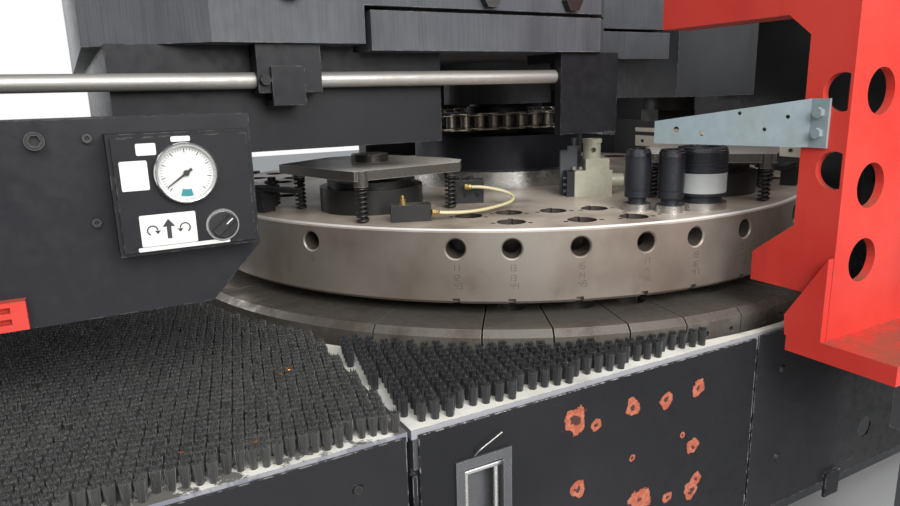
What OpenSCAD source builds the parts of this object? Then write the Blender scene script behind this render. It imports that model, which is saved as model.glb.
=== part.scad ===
// CNC turret punch press, seen into the throat from the tool change side.
// Units are millimetres, Z is up, the origin lies on the floor under the turret axis.

/* [Pass line] */
// Height of the sheet above the floor
pass_h = 920; // [890:1:950]
// Clear height between the dies and the upper turret
throat_gap = 23; // [20:0.5:28]
// Height of the bristle tufts above the table plates
tuft_h = 30; // [22:1:36]

/* [Upper turret] */
// Radius of the upper turret
turret_r = 690; // [680:1:700]
// Thickness of the upper turret
turret_t = 120; // [110:1:130]
// Radius of the index holes in the rim
index_r = 15; // [12:0.5:17]
// Depth of the index holes
index_depth = 60; // [40:1:70]
// Height of the index holes below the turret top
index_drop = 31; // [28:1:45]
// Radius of a medium station bore
b_bore_r = 23.8; // [22:0.1:25]
// Radius of a large station bore
c_bore_r = 44.45; // [43:0.05:45]
// Edge bevel of the turret rim
rim_bevel = 5; // [2:0.5:8]

/* [Lower turret] */
// Radius over the die holders
holder_r = 752; // [740:1:758]
// Height of the die holder blocks
holder_h = 58; // [50:1:64]
// Thickness of the lower turret
lower_t = 72; // [60:1:80]
// Width of the gap between two die holders
holder_gap = 3; // [2:0.5:6]
// Depth of a die seat
die_h = 30; // [24:1:34]

/* [Hub and drive] */
// Radius of the bright flange on the turret
flange_r = 235; // [225:1:245]
// Height of the flange
flange_h = 35; // [28:1:40]
// Radius of the dark hub neck
neck_r = 205; // [190:1:215]
// Radius of the turret shafts
shaft_r = 60; // [50:1:70]
// Pitch of the drive chains
chain_pitch = 31.75; // [31.75:0.01:31.75]
// Distance from the turret axis to the drive shaft
drive_x = 672.56; // [672.56:0.01:672.56]
// Height of the upper chain above the turret top
chain_lift = 145; // [142:1:150]

/* [Tools] */
// Height of the tool tops above the turret
tool_h = 105; // [95:1:108]
// Radius of a medium tool sleeve
b_sleeve_r = 21.5; // [20:0.5:23]
// Radius of a large tool sleeve
c_sleeve_r = 42.5; // [40:0.5:43.5]
// Stroke of the punch heads
tool_stroke = 10; // [5:1:12]
// Radius of the grease tube
tube_r = 3; // [2:0.5:4]

/* [Rotating stations] */
// Radius on which the rotating stations sit
ai_r = 518; // [515:1:522]
// Height of the press plate top above the turret
ai_plate_z = 86; // [82:1:92]
// Thickness of the press plate
ai_plate_t = 16; // [12:1:18]
// Radius of the rotating drum
drum_r = 95; // [88:1:100]
// Stroke of the press plate
ai_stroke = 10; // [6:1:12]
// Outer radius of the return springs
spring_r = 11; // [9:0.5:12]

/* [Bridge frame] */
// Inner left face of the frame window
frame_x0 = -1250; // [-1300:10:-1245]
// Inner right face of the frame window
frame_x1 = 2500; // [2450:10:2700]
// Half width of the frame
frame_y = 350; // [300:10:380]
// Underside of the top beam above the pass line
beam_rise = 663; // [640:1:700]
// Top of the frame
frame_top = 2200; // [2100:10:2300]
// Top of the lower beam below the pass line
sill_drop = 280; // [275:5:320]
// Height of the levelling blocks
pad_h = 60; // [40:1:80]

/* [Mounting slab] */
// Front face of the slab
slab_y = -500; // [-510:1:-490]
// Underside of the right slab plate above the turret top
slab_right = 267; // [262:1:272]
// Underside of the left slab plate above the turret top
slab_left = 276; // [272:1:282]
// Underside of the drive housing above the turret top
hood_drop = 130; // [128:1:136]

/* [Guard rail and controls] */
// Radius of the guard rail
rail_r = 11; // [9:0.5:14]
// Distance of the guard rail from the turret axis
rail_y = -470; // [-476:1:-466]
// Front face of the control arm
arm_y = -640; // [-650:1:-630]
// Depth of the control box
box_t = 40; // [30:1:50]
// Radius of the pressure gauge
gauge_r = 31.5; // [28:0.5:33]

/* [Tables] */
// Half width of the tables
table_y = 785; // [783:1:790]
// Radius of the cut-out round the lower turret
cut_r = 772; // [765:1:776]
// Spacing of the bristle tufts of the centre table
tuft_pitch = 36; // [30:1:60]
// Spacing of the bristle tufts of the left table
tuft_pitch_left = 60; // [54:1:80]
// Sheet thickness of the aprons
sheet_t = 3; // [2:0.5:4]

/* [Carriage base] */
// Front end of the carriage base
base_x = -20; // [-22:1:-10]
// Plate thickness of the carriage base
base_t = 12; // [8:1:16]
// Travel of the carriage base
base_travel = 1200; // [1000:10:1250]
// Half length of the cross beam
beam_y = 1900; // [1700:10:2200]

/* [Part shown] */
// Part drawn on its own, or all

/* [Hidden] */
$fn = 64;
fit_run = 0.05;
fit_slide = 0.1;
seat = 0.3;

beam_z = pass_h + beam_rise;
sill_z = pass_h - sill_drop;
z_under = pass_h + throat_gap;
zt = z_under + turret_t;
z_low_top = pass_h - holder_h;
z_low = z_low_top - lower_t;
z_index = zt - index_drop;
z_pin_low = z_low + lower_t / 2;
plate_top = pass_h - tuft_h;
plate_t = 12;
z_slab_r = zt + slab_right;
z_slab_l = zt + slab_left;
slab_split = 55;
slab_gap = 6;
z_hood = zt + hood_drop;
z_neck = zt + 110;
z_chain = zt + chain_lift;
z_chain_low = z_low - 35;
chain_half = 18;
sprocket_half = 10;
teeth_big = 44;
teeth_small = 22;
pitch_big = chain_pitch / (2 * sin(180 / teeth_big));
pitch_small = chain_pitch / (2 * sin(180 / teeth_small));
roller_r = 9.5;
hub_r = 75;

// Station centres as [angle, radius].
front_index = [-128.5, -121.2, -112.3, -103.2, -95.4, -85.7];
ai_angle = [-150, -69];
rear_index = [for (k = [-5:21]) 9 * k];
index_angles = concat(front_index, ai_angle, rear_index);
outer_row = turret_r - 60;
inner_row = turret_r - 155;
c_row = turret_r - 100;
b_tools = [[-98.6, turret_r - 110], [-95.1, turret_r - 68]];
c_tool = [-88.4, turret_r - 72];
front_b = [[-128, turret_r - 120], [-121, turret_r - 62], [-121, turret_r - 150],
    [-110.5, outer_row], [-112.6, inner_row], [-102.3, turret_r - 58], [-104.4, inner_row]];
rear_b = [for (k = [-5:20]) if ((k + 8) % 4 != 2) for (r = [outer_row, inner_row]) [9 * k, r]];
rear_c = [for (k = [-5:20]) if ((k + 8) % 4 == 2) [9 * k, c_row]];
all_b = concat(front_b, b_tools, rear_b);
all_c = concat([c_tool], rear_c);
holder_cuts = concat([-166.5, -138, -124.9, -116.7, -107.7, -100.3, -91.9, -80, -50],
    [for (k = [-5:20]) 9 * k + 4.5]);
holder_in = turret_r - 270;

// Rotating station, in its own radial and tangential directions.
plate_outline = [[102, -130], [150, 54], [154, 86], [-34, 172], [-78, 150], [-100, 100],
    [-122, -60], [-100, -100], [-40, -135]];
spring_at = [[137, 85], [-48, 143], [-98, -72], [72, -112]];
stack_at = [64.6, -190.9];
collar_h = 10;
drum_h = 55;
spigot_r = 75;
ai_head_r = 34;
stem_r = 30;
side_k = ai_r / 518;

drum_gap = 0.5;
key_h = 30;
arm_x1 = -749;
arm_z0 = zt - 22;
arm_z1 = zt + 189;
box_x = [-899, -758];
box_z = [zt + 48, zt + 173];
box_y = arm_y - box_t;
gauge_at = [-828, zt + 131];
knob_at = [-796, zt + 72];
door_x = [-622, -30];
door_z = [pass_h - 620, pass_h - 37];
apron_z = pass_h - 35;
handle_z = pass_h - 150;
tie_z = pass_h - 440;
hinge_r = 3;
side_in = -824;
side_out = -890;
web_hole_in = 15;
web_hole_r = 26;
web_wall = 4;
foot_out = -995;
arm_end = -551;
base_z0 = zt - 183;
base_z1 = zt + 437;
beam_x = [870, 1200];
rail_z0 = zt - 63;
rail_z1 = zt + 52;
jaw_at = [-330, 330];
jaw_pivot = [812, pass_h + 42];
ram_x = 582;
ram_r = 70;
ram_z = zt + 114;
index_at = 135;
column_r = turret_r + 136;
column_t = 74;

c_frame = [0.30, 0.31, 0.32];
c_grey = [0.42, 0.42, 0.41];
c_black = [0.07, 0.07, 0.08];
c_steel = [0.55, 0.53, 0.49];
c_bright = [0.74, 0.74, 0.72];
c_red = [0.84, 0.24, 0.18];
c_zinc = [0.62, 0.66, 0.68];
c_cream = [0.86, 0.83, 0.74];

module polar(a, r, z = 0) {
    translate([r * cos(a), r * sin(a), z]) rotate([0, 0, a]) children();
}

module box(a, b) {
    translate(a) cube([b[0] - a[0], b[1] - a[1], b[2] - a[2]]);
}

module ring(ro, ri, h) {
    difference() {
        cylinder(r = ro, h = h);
        translate([0, 0, -1]) cylinder(r = ri, h = h + 2);
    }
}

// Prism with its outline in Y and Z, running along X from x0.
module yz_prism(points, x0, t) {
    translate([x0, 0, 0]) rotate([90, 0, 90]) linear_extrude(height = t) polygon(points);
}

// Prism with its outline in X and Z, running along -Y from y0.
module xz_prism(points, y0, t) {
    translate([0, y0, 0]) rotate([90, 0, 0]) linear_extrude(height = t) polygon(points);
}

module hex_head(af, h) {
    cylinder(r = af / sqrt(3), h = h, $fn = 6);
}

// Socket head screw, its axis along +Z and its seat at z = 0.
module cap_screw(d) {
    difference() {
        cylinder(r = 0.75 * d, h = d);
        translate([0, 0, 0.5 * d]) cylinder(r = 0.5 * d, h = d, $fn = 6);
    }
}

module mirror_y() {
    children();
    mirror([0, 1, 0]) children();
}

module bridge_frame() color(c_frame) {
    leg = 400;
    x0 = frame_x0 - leg;
    x1 = frame_x1 + leg + 50;
    difference() {
        box([x0, -frame_y, pad_h], [x1, frame_y, frame_top]);
        box([frame_x0, -frame_y - 1, sill_z], [frame_x1, frame_y + 1, beam_z]);
    }
}

module floor_pads() color(c_grey) {
    for (x = [-1450, 2725], s = [-1, 1]) difference() {
        box([x - 120, s * 365 - 115, 0], [x + 120, s * 365 + 115, pad_h]);
        translate([x, s * 420, -1]) cylinder(r = 13, h = pad_h + 2);
    }
    cylinder(r = 110, h = pad_h);
}

module slab_outline() {
    polygon([[-754, slab_y], [-113, slab_y], [-56, slab_y + 57], [-56, -300], [260, -300],
        [260, 300], [-400, 300], [-400, 680], [-900, 680], [-900, slab_y + 120]]);
}

module upper_slab() color(c_grey) difference() {
    union() {
        translate([0, 0, z_slab_r + slab_split + slab_gap]) linear_extrude(
            height = beam_z - z_slab_r - slab_split - slab_gap) slab_outline();
        intersection() {
            translate([0, 0, z_slab_r]) linear_extrude(height = slab_split) slab_outline();
            box([-535, -900, z_slab_r], [300, 900, z_slab_r + slab_split]);
        }
        box([-500, slab_y + 30, z_slab_r + slab_split - 1],
            [-90, 290, z_slab_r + slab_split + slab_gap + 1]);
        intersection() {
            translate([0, 0, z_slab_l]) linear_extrude(height = slab_split) slab_outline();
            box([-910, -900, z_slab_l], [-544, 900, z_slab_l + slab_split]);
        }
    }
    translate([0, 0, z_slab_r - 1]) cylinder(r = shaft_r + 6, h = 400);
}

module screws() color(c_steel) {
    for (x = [-650, -338, -180])
        translate([x, slab_y, z_slab_r + slab_split + 24]) rotate([90, 0, 0]) hex_head(30, 14);
    for (x = [-470, -420], y = [-410, 410])
        translate([x, y, z_slab_r - 14]) hex_head(30, 14);
    for (x = [-1010, -960])
        translate([x, arm_y, arm_z1 - 20]) rotate([90, 0, 0]) cap_screw(12);
    for (q = [[-914, 169], [-916, 82]])
        translate([q[0], arm_y, zt + q[1]]) rotate([90, 0, 0]) cap_screw(6);
    mirror_y() {
        for (q = [[39, -104], [45, -265], [420, -104], [430, -280]])
            translate([q[0], -table_y - sheet_t, pass_h + q[1]]) rotate([90, 0, 0])
                cylinder(r1 = 7, r2 = 5, h = 4);
        for (x = [-1200, -700], z = [-560, -80])
            translate([x, -table_y - sheet_t, pass_h + z]) rotate([90, 0, 0])
                cylinder(r1 = 7, r2 = 5, h = 4);
    }
}

// Sheet hood round the drive, open below, with a slot where the chain comes in.
module drive_housing() color(c_black) {
    t = 4;
    difference() {
        union() {
            box([-877, -450, z_hood], [-545, 450, z_slab_l]);
            box([-545.1, -450, z_hood], [-399, 450, z_slab_r]);
        }
        box([-877 + t, -450 + t, z_hood - 1], [-545, 450 - t, z_slab_l - t]);
        box([-546, -450 + t, z_hood - 1], [-399 - t, 450 - t, z_slab_r - t]);
        box([-410, -210, z_hood - 1], [-390, 210, z_chain + chain_half + 12]);
        translate([-drive_x, 0, z_slab_l - 10]) cylinder(r = 130, h = 20);
        for (x = [-470, -420], y = [-410, 410])
            translate([x, y, z_slab_r - 20]) cylinder(r = 22, h = 30);
    }
}

module front_hanger() color(c_black) difference() {
    union() {
        box([-188, -489, z_hood], [-62, -473, z_slab_r]);
        box([-140, -474, z_hood + 20], [-124, -440, z_slab_r]);
        box([-180, -489, zt + 205], [-140, -448, zt + 251]);
        box([-180, -489, z_slab_r - 16], [-70, -380, z_slab_r]);
    }
    translate([-190, rail_y, zt + 228]) rotate([0, 90, 0]) cylinder(r = rail_r + seat, h = 22);
}

module guard_rail() color(c_bright)
    translate([-1420, rail_y, zt + 228]) rotate([0, 90, 0]) cylinder(r = rail_r, h = 1251);

module rail_bracket() color(c_black) {
    difference() {
        union() {
            box([-698, -490, zt + 211], [-609, -450, z_slab_l]);
            box([-1410, -492, zt + 205], [-1340, -frame_y, zt + 251]);
        }
        translate([-1500, rail_y, zt + 228]) rotate([0, 90, 0])
            cylinder(r = rail_r + seat, h = 1000);
        box([-1411, -448, zt + 212], [-1339, -frame_y - 8, zt + 252]);
    }
    box([-681, -497, zt + 194], [-635, -489.9, zt + 246]);
    box([-681, -490, zt + 194], [-635, -450, zt + 201]);
    translate([-689, -489.9, zt + 228]) rotate([90, 0, 0]) hex_head(13, 8);
}

module control_arm() color(c_black) {
    difference() {
        xz_prism([[-1560, arm_z0], [-807, arm_z0], [arm_x1, arm_z0 + 61], [arm_x1, arm_z1],
            [-1560, arm_z1]], arm_y + 80, 80);
        xz_prism([[-1550, arm_z0 + 4], [-809, arm_z0 + 4], [arm_x1 - 4, arm_z0 + 63],
            [arm_x1 - 4, arm_z1 - 4], [-1550, arm_z1 - 4]], arm_y + 81, 77);
    }
    box([-1560, arm_y + 80, arm_z0], [-1330, -frame_y, arm_z1]);
}

module slot_block() color(c_red) difference() {
    box([-1034, arm_y - 14, zt - 18], [-990, arm_y, zt + 12]);
    for (z = [zt - 8, zt + 4])
        box([-1020, arm_y - 15, z - 3], [-1004, arm_y - 6, z + 3]);
}

module control_box() color(c_black) difference() {
    union() {
        b = 4;
        box([box_x[0] + b, box_y, box_z[0] + b], [box_x[1] - b, arm_y, box_z[1] - b]);
        box([box_x[0], box_y + b, box_z[0]], [box_x[1], arm_y, box_z[1]]);
    }
    translate([gauge_at[0], box_y + 18, gauge_at[1]]) rotate([90, 0, 0])
        cylinder(r = gauge_r - 4 + fit_slide, h = 30);
    translate([knob_at[0], box_y + 20, knob_at[1]]) rotate([90, 0, 0])
        cylinder(r = 8 + fit_run, h = 30);
}

module label_plates() color([0.9, 0.9, 0.88]) {
    for (q = [[-839, -820, 163.2, 168.6], [-873, -854, 151, 163], [-890, -864, 116, 146],
        [-878, -823, 57, 90], [-882, -790, 52.2, 56.5]])
        box([q[0], box_y - 0.6, zt + q[2]], [q[1], box_y, zt + q[3]]);
}

module pressure_gauge() color(c_bright) translate([gauge_at[0], box_y, gauge_at[1]])
    rotate([90, 0, 0]) difference() {
        union() {
            translate([0, 0, -17]) cylinder(r = gauge_r - 4, h = 17.1);
            cylinder(r = gauge_r, h = 11);
        }
        translate([0, 0, 5]) cylinder(r = gauge_r - 4, h = 7);
        translate([0, 0, 1]) cylinder(r = 1.5 + fit_run, h = 12);
    }

module gauge_needle() color(c_black) translate([gauge_at[0], box_y, gauge_at[1]])
    rotate([90, 0, 0]) {
        translate([0, 0, 1.2]) cylinder(r = 1.5, h = 6.8);
        translate([0, 0, 6]) cylinder(r = 3, h = 2);
        rotate([0, 0, 215]) translate([0, 0, 6.4]) linear_extrude(height = 0.8)
            polygon([[-7, -1.4], [24, -0.4], [24, 0.4], [-7, 1.4]]);
    }

module selector_knob() color(c_black) translate([knob_at[0], box_y, knob_at[1]])
    rotate([90, 0, 0]) {
        translate([0, 0, -15]) cylinder(r = 8, h = 16);
        difference() {
            translate([0, 0, seat]) cylinder(r = 14.5, h = 11);
            for (s = [-1, 1]) rotate([0, 0, 40])
                translate([-16, s > 0 ? 5 : -21, 4]) cube([32, 16, 9]);
        }
    }

module bearings() color(c_grey) {
    difference() {
        union() {
            translate([0, 0, zt + 178]) cylinder(r = 130, h = slab_right - 178);
            translate([0, 0, z_slab_r - 25]) cylinder(r = 190, h = 25);
        }
        translate([0, 0, zt + 170]) cylinder(r = shaft_r + fit_run, h = 120);
    }
    difference() {
        union() {
            translate([0, 0, sill_z]) cylinder(r = 130, h = z_chain_low - 22 - sill_z);
            translate([0, 0, sill_z]) cylinder(r = 190, h = 25);
        }
        translate([0, 0, sill_z + 10]) cylinder(r = shaft_r + fit_run, h = 120);
    }
}

module gearmotors() color([0.25, 0.35, 0.45]) translate([-drive_x, 0, 0]) {
    difference() {
        translate([0, 0, z_chain + 24]) cylinder(r = 120, h = z_slab_l - z_chain - 24);
        translate([0, 0, z_chain + 20]) cylinder(r = 20 + fit_run, h = 70);
    }
    difference() {
        translate([0, 0, sill_z]) cylinder(r = 120, h = z_chain_low - 24 - sill_z);
        translate([0, 0, sill_z + 10]) cylinder(r = 20 + fit_run, h = 120);
    }
}

// Closed loop of a chain round the large and the small sprocket, grown by g.
module loop_outline(g) {
    a = asin((pitch_big - pitch_small) / drive_x);
    circle(r = pitch_big + g);
    translate([-drive_x, 0]) circle(r = pitch_small + g);
    polygon([for (q = [[0, pitch_big, 1], [1, pitch_small, 1], [1, pitch_small, -1],
        [0, pitch_big, -1]]) [-drive_x * q[0] - (q[1] + g) * sin(a) * -1,
        q[2] * (q[1] + g) * cos(a)]]);
}

module chain_band(g0, g1, z, h) {
    translate([0, 0, z]) linear_extrude(height = h) difference() {
        loop_outline(g1);
        loop_outline(g0);
    }
}

module chain(zc) {
    a = asin((pitch_big - pitch_small) / drive_x);
    span = sqrt(drive_x * drive_x - (pitch_big - pitch_small) * (pitch_big - pitch_small));
    half_big = pitch_big * (180 + 2 * a) / 2 * PI / 180;
    pitches = 76;
    for (s = [-1, 1])
        chain_band(-11, 11, zc + s * (chain_half - 2.5) - 2.5, 5);
    for (k = [0:pitches / 2 - 1], s = [-1, 1]) {
        d = (k + 0.5) * chain_pitch;
        arc = d / pitch_big * 180 / PI;
        run = d - half_big;
        end = (run - span) / pitch_small * 180 / PI;
        x = run < 0 ? pitch_big * cos(arc) : run < span
            ? pitch_big * cos(90 + a) - run * cos(a)
            : -drive_x + pitch_small * cos(90 + a + end);
        y = run < 0 ? pitch_big * sin(arc) : run < span
            ? pitch_big * sin(90 + a) - run * sin(a)
            : pitch_small * sin(90 + a + end);
        translate([x, s * y, zc - chain_half + 5]) cylinder(r = roller_r, h = 2 * chain_half - 10);
    }
}

module drive_chains() color(c_steel) {
    chain(z_chain);
    chain(z_chain_low);
}

// Disc whose teeth stay just below the chain rollers.
module sprocket_disc(pr, n) {
    difference() {
        cylinder(r = pr - roller_r - 0.5, h = 2 * sprocket_half);
        for (k = [0:n - 1]) rotate([0, 0, k * 360 / n])
            translate([pr, 0, -1]) cylinder(r = roller_r + 5, h = 2 * sprocket_half + 2);
    }
}

module upper_sprocket() color(c_steel) {
    difference() {
        union() {
            translate([0, 0, z_chain - sprocket_half]) sprocket_disc(pitch_big, teeth_big);
            translate([0, 0, z_neck]) cylinder(r = hub_r, h = zt + 172 - z_neck);
        }
        for (k = [0:5]) rotate([0, 0, 60 * k + 30])
            translate([140, 0, z_chain - 20]) cylinder(r = 30, h = 40);
    }
    translate([0, 0, zt + 99]) cylinder(r = shaft_r, h = 261);
}

module ram_housing() color(c_frame) difference() {
    box([450, -150, zt + 180], [750, 150, beam_z]);
    translate([ram_x, 0, zt + 170]) cylinder(r = ram_r + fit_run, h = 440);
}

module ram() color(c_steel) {
    translate([ram_x, 0, ram_z + 30]) cylinder(r = ram_r, h = 300);
    box([ram_x - 72, -32, ram_z], [ram_x + 72, 32, ram_z + 31]);
}

module die_anvil() color(c_grey) difference() {
    box([490, -95, sill_z], [680, 95, z_low - 1]);
    translate([ram_x, 0, sill_z + 20]) cylinder(r = 40, h = 200);
}

// Column with a nose that carries an index pin, its axis at height z.
module pin_bracket(z, z0, z1) {
    polar(index_at, 0) difference() {
        union() {
            box([column_r, -55, z0], [column_r + column_t, 55, z1]);
            box([turret_r + 12, -42, z - 34], [column_r + 1, 42, z + 34]);
        }
        translate([turret_r, 0, z]) rotate([0, 90, 0]) cylinder(r = index_r - 1 + fit_run, h = 220);
    }
}

module index_brackets() color(c_grey) {
    pin_bracket(z_index, z_index - 42, z_slab_l);
    pin_bracket(z_pin_low, sill_z, z_pin_low + 38);
    difference() {
        polar(index_at, 0) box([frame_y + 60, -55, sill_z - 60],
            [column_r + column_t, 55, sill_z + 1]);
        box([frame_x0, -frame_y, 0], [0, frame_y, beam_z]);
    }
}

module index_pin(z) {
    polar(index_at, 0, z) rotate([0, 90, 0]) {
        translate([0, 0, turret_r + 6]) cylinder(r1 = index_r - 5, r2 = index_r - 1, h = 10);
        translate([0, 0, turret_r + 16]) cylinder(r = index_r - 1, h = 254);
        translate([0, 0, turret_r + 265]) cylinder(r = index_r + 4, h = 14);
    }
}

module index_pins() color(c_bright) {
    index_pin(z_index);
    index_pin(z_pin_low);
}

module centre_table() color(c_cream) difference() {
    box([-630, -table_y, plate_top - plate_t], [700, table_y, plate_top]);
    translate([0, 0, plate_top - 20]) cylinder(r = cut_r, h = 30);
}

module left_table() color(c_cream) difference() {
    box([frame_x0 + 10, -table_y, plate_top - plate_t], [-635, table_y, plate_top]);
    translate([0, 0, plate_top - 20]) cylinder(r = cut_r, h = 30);
}

module tuft(x, y) {
    translate([x, y, plate_top]) rotate([0, 0, 45]) cylinder(r = 5, h = tuft_h, $fn = 4);
}

module brush_tufts() color(c_black) {
    p = tuft_pitch;
    for (i = [-17:18], j = [12:21], s = [-1, 1]) {
        x = (i + (j % 2) / 2) * p;
        y = s * (j * p + 10);
        if (x > -616 && x < 686 && abs(y) < table_y - 14 && norm([x, y]) > cut_r + 14) tuft(x, y);
    }
    q = tuft_pitch_left;
    for (i = [0:9], j = [-12:12]) {
        x = -668 - (i + (abs(j) % 2) / 2) * q;
        if (x > frame_x0 + 24 && norm([x, j * q]) > cut_r + 14) tuft(x, j * q);
    }
}

module table_frame() color(c_frame) {
    z1 = plate_top - plate_t;
    y0 = table_y - 10;
    for (s = [-1, 1]) mirror([0, s > 0 ? 0 : 1, 0]) {
        for (x = [[frame_x0 + 12, frame_x0 + 62], [-690, -640], [-628, -578], [640, 690]])
            box([x[0], y0 - 50, 0], [x[1], y0, z1]);
        box([frame_x0 + 12, y0 - 40, z1 - 40], [-640, y0, z1]);
        box([-628, y0, z1 - 40], [700, table_y - 1, z1]);
    }
    box([frame_x0 + 12, -y0 + 40, z1 - 40], [frame_x0 + 52, y0 - 40, z1]);
    mirror_y() box([-690, -y0 + 40, tie_z], [-578, -frame_y, tie_z + 60]);
    box([-680, -y0 + 40, z1 - 40], [-640, -440, z1]);
    box([-628, -y0 + 40, z1 - 40], [-600, -490, z1]);
    for (s = [-1, 1]) mirror([0, s > 0 ? 0 : 1, 0])
        box([650, 420, z1 - 40], [690, y0 - 40, z1]);
}

module aprons() color(c_black) mirror_y() {
    box([frame_x0 + 10, -table_y - sheet_t, door_z[0]], [-638, -table_y, apron_z]);
    difference() {
        union() {
            box([-26, -table_y - sheet_t, pass_h - 357], [700, -table_y, apron_z]);
            box([-26, -table_y - 1, pass_h - 357], [-20, -table_y + 9, plate_top - 60]);
        }
        translate([300, -table_y + 1, pass_h - 280]) rotate([90, 0, 0]) cylinder(r = 20, h = 10);
    }
    box([-630, -table_y + 1, door_z[0]], [-624, -table_y + 10, plate_top - 60]);
    box([186, -table_y - sheet_t - 6, pass_h - 387], [226, -table_y - sheet_t, pass_h - 340]);
}

module access_door() color(c_black) {
    y = -table_y - sheet_t;
    difference() {
        box([door_x[0], y, door_z[0]], [door_x[1], y + sheet_t, door_z[1]]);
        box([-567, y - 1, handle_z - 56], [-503, y + 10, handle_z + 56]);
    }
    box([door_x[0] + 6, y + sheet_t, door_z[0] + 6], [door_x[0] + 9, y + 12, door_z[1] - 60]);
    box([door_x[1] - 9, y + sheet_t, door_z[0] + 6], [door_x[1] - 6, y + 12, door_z[1] - 60]);
    box([door_x[0] + 6, y + sheet_t, door_z[0] + 6], [door_x[1] - 6, y + 12, door_z[0] + 9]);
    for (z = [door_z[0] + 30, door_z[0] + 330])
        translate([door_x[0], y, z]) cylinder(r = hinge_r, h = 50);
}

module handle_dish() color(c_bright) difference() {
    y = -table_y - sheet_t;
    union() {
        box([-575, y - 3, handle_z - 64], [-495, y, handle_z + 64]);
        box([-567 + seat, y - 0.1, handle_z - 56 + seat],
            [-503 - seat, y + 22, handle_z + 56 - seat]);
    }
    box([-563, y - 4, handle_z - 52], [-507, y + 20, handle_z + 52]);
    translate([-568, -table_y + 4, handle_z + 42]) rotate([0, 90, 0]) cylinder(r = 4 + fit_run, h = 66);
}

module handle_bail() color(c_bright) {
    y = -table_y + 4;
    translate([-566, y, handle_z + 42]) rotate([0, 90, 0]) cylinder(r = 4, h = 62);
    for (x = [-557, -513]) translate([x, y, handle_z - 40]) cylinder(r = 3.5, h = 82);
    translate([-560.5, y, handle_z - 40]) rotate([0, 90, 0]) cylinder(r = 3.5, h = 51);
}

module station_cuts(z, h, shrink = 0) {
    for (s = all_b) polar(s[0], s[1], z) cylinder(r = b_bore_r - shrink, h = h);
    for (s = all_c) polar(s[0], s[1], z) cylinder(r = c_bore_r - shrink, h = h);
}

module index_cuts(z, depth, r_out) {
    for (a = index_angles) polar(a, r_out - depth, z) rotate([0, 90, 0]) {
        cylinder(r = index_r, h = depth + 1);
        translate([0, 0, depth - 3]) cylinder(r1 = index_r, r2 = index_r + 4, h = 4);
    }
}

module upper_turret() color(c_steel) difference() {
    rotate_extrude() polygon([[shaft_r + 5, z_under], [turret_r - rim_bevel, z_under],
        [turret_r, z_under + rim_bevel], [turret_r, zt - rim_bevel],
        [turret_r - rim_bevel, zt], [shaft_r + 5, zt]]);
    station_cuts(z_under - 1, turret_t + 2);
    index_cuts(z_index, index_depth, turret_r);
    for (s = concat(front_b, b_tools)) polar(s[0], s[1], zt - key_h)
        for (t = [-1, 1]) translate([9, t * 30, 0]) cylinder(r = 4.5, h = key_h + 1);
    for (s = all_b) polar(s[0], s[1], zt - key_h) translate([-b_bore_r - 5, -4, 0])
        cube([10, 8, key_h + 1]);
    for (s = all_c) polar(s[0], s[1], zt - key_h) translate([-c_bore_r - 5, -4, 0])
        cube([10, 8, key_h + 1]);
    for (a = ai_angle) polar(a, ai_r, z_under - 1) cylinder(r = spigot_r + fit_run, h = 200);
    for (a = front_index) rotate([0, 0, a]) box([turret_r - 10, -6, z_under - 1],
        [turret_r + 1, 6, z_under + 9]);
}

module hub_flange() color(c_bright) {
    difference() {
        translate([0, 0, zt]) cylinder(r = flange_r, h = flange_h);
        translate([0, 0, zt - 1]) cylinder(r = shaft_r + 5, h = flange_h + 2);
    }
}

module hub_neck() color(c_black) difference() {
    translate([0, 0, zt + flange_h]) cylinder(r = neck_r, h = z_neck - zt - flange_h);
    translate([0, 0, zt + 99]) cylinder(r = shaft_r + seat, h = 20);
}

// Guide with its bright collar and key, set into a station of radius rb.
module guide(rb, rs) {
    difference() {
        union() {
            translate([0, 0, -90]) cylinder(r = rb - fit_slide, h = 102);
            translate([-rb - 4.5, -3.8, -key_h]) cube([8, 7.6, key_h]);
        }
        translate([0, 0, -91]) cylinder(r = rs - 6, h = 120);
    }
}

module tool_guides() color(c_bright) {
    for (s = b_tools) polar(s[0], s[1], zt) guide(b_bore_r, b_sleeve_r);
    polar(c_tool[0], c_tool[1], zt) guide(c_bore_r, c_sleeve_r);
}

// Punch head and canister above the guide.
module tool(s, rs, ribs) {
    gap = tool_stroke + 1;
    polar(s[0], s[1], zt) {
        translate([0, 0, 12 + gap]) cylinder(r = rs, h = tool_h - 16 - gap);
        translate([0, 0, -60]) cylinder(r = rs - 6 - fit_slide, h = 74 + gap);
        difference() {
            translate([0, 0, tool_h - 6]) cylinder(r = rs - 2, h = 6);
            translate([0, 0, tool_h - 3]) cylinder(r = rs / 2, h = 5);
        }
        if (ribs > 0) for (k = [0:ribs - 1])
            translate([0, 0, tool_h - 12 - 7 * k]) ring(rs + 0.9, rs - 1, 3.5);
    }
}

module tool_one() color(c_black) tool(b_tools[0], b_sleeve_r, 0);

module tool_two() color(c_black) tool(b_tools[1], b_sleeve_r, 0);

module tool_three() color(c_black) tool(c_tool, c_sleeve_r, 5);

module ai_drum(a) {
    polar(a, ai_r, 0) difference() {
        union() {
            translate([0, 0, z_under + 5]) cylinder(r = spigot_r, h = turret_t);
            translate([0, 0, zt + drum_gap]) cylinder(r = drum_r, h = drum_h - 12);
            translate([0, 0, zt + drum_h - 14]) cylinder(r = drum_r - 14, h = 14);
        }
        translate([0, 0, z_under]) cylinder(r = stem_r + 1, h = 300);
    }
}

module ai_drum_left() color(c_black) ai_drum(ai_angle[0]);

module ai_drum_right() color(c_black) ai_drum(ai_angle[1]);

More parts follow.
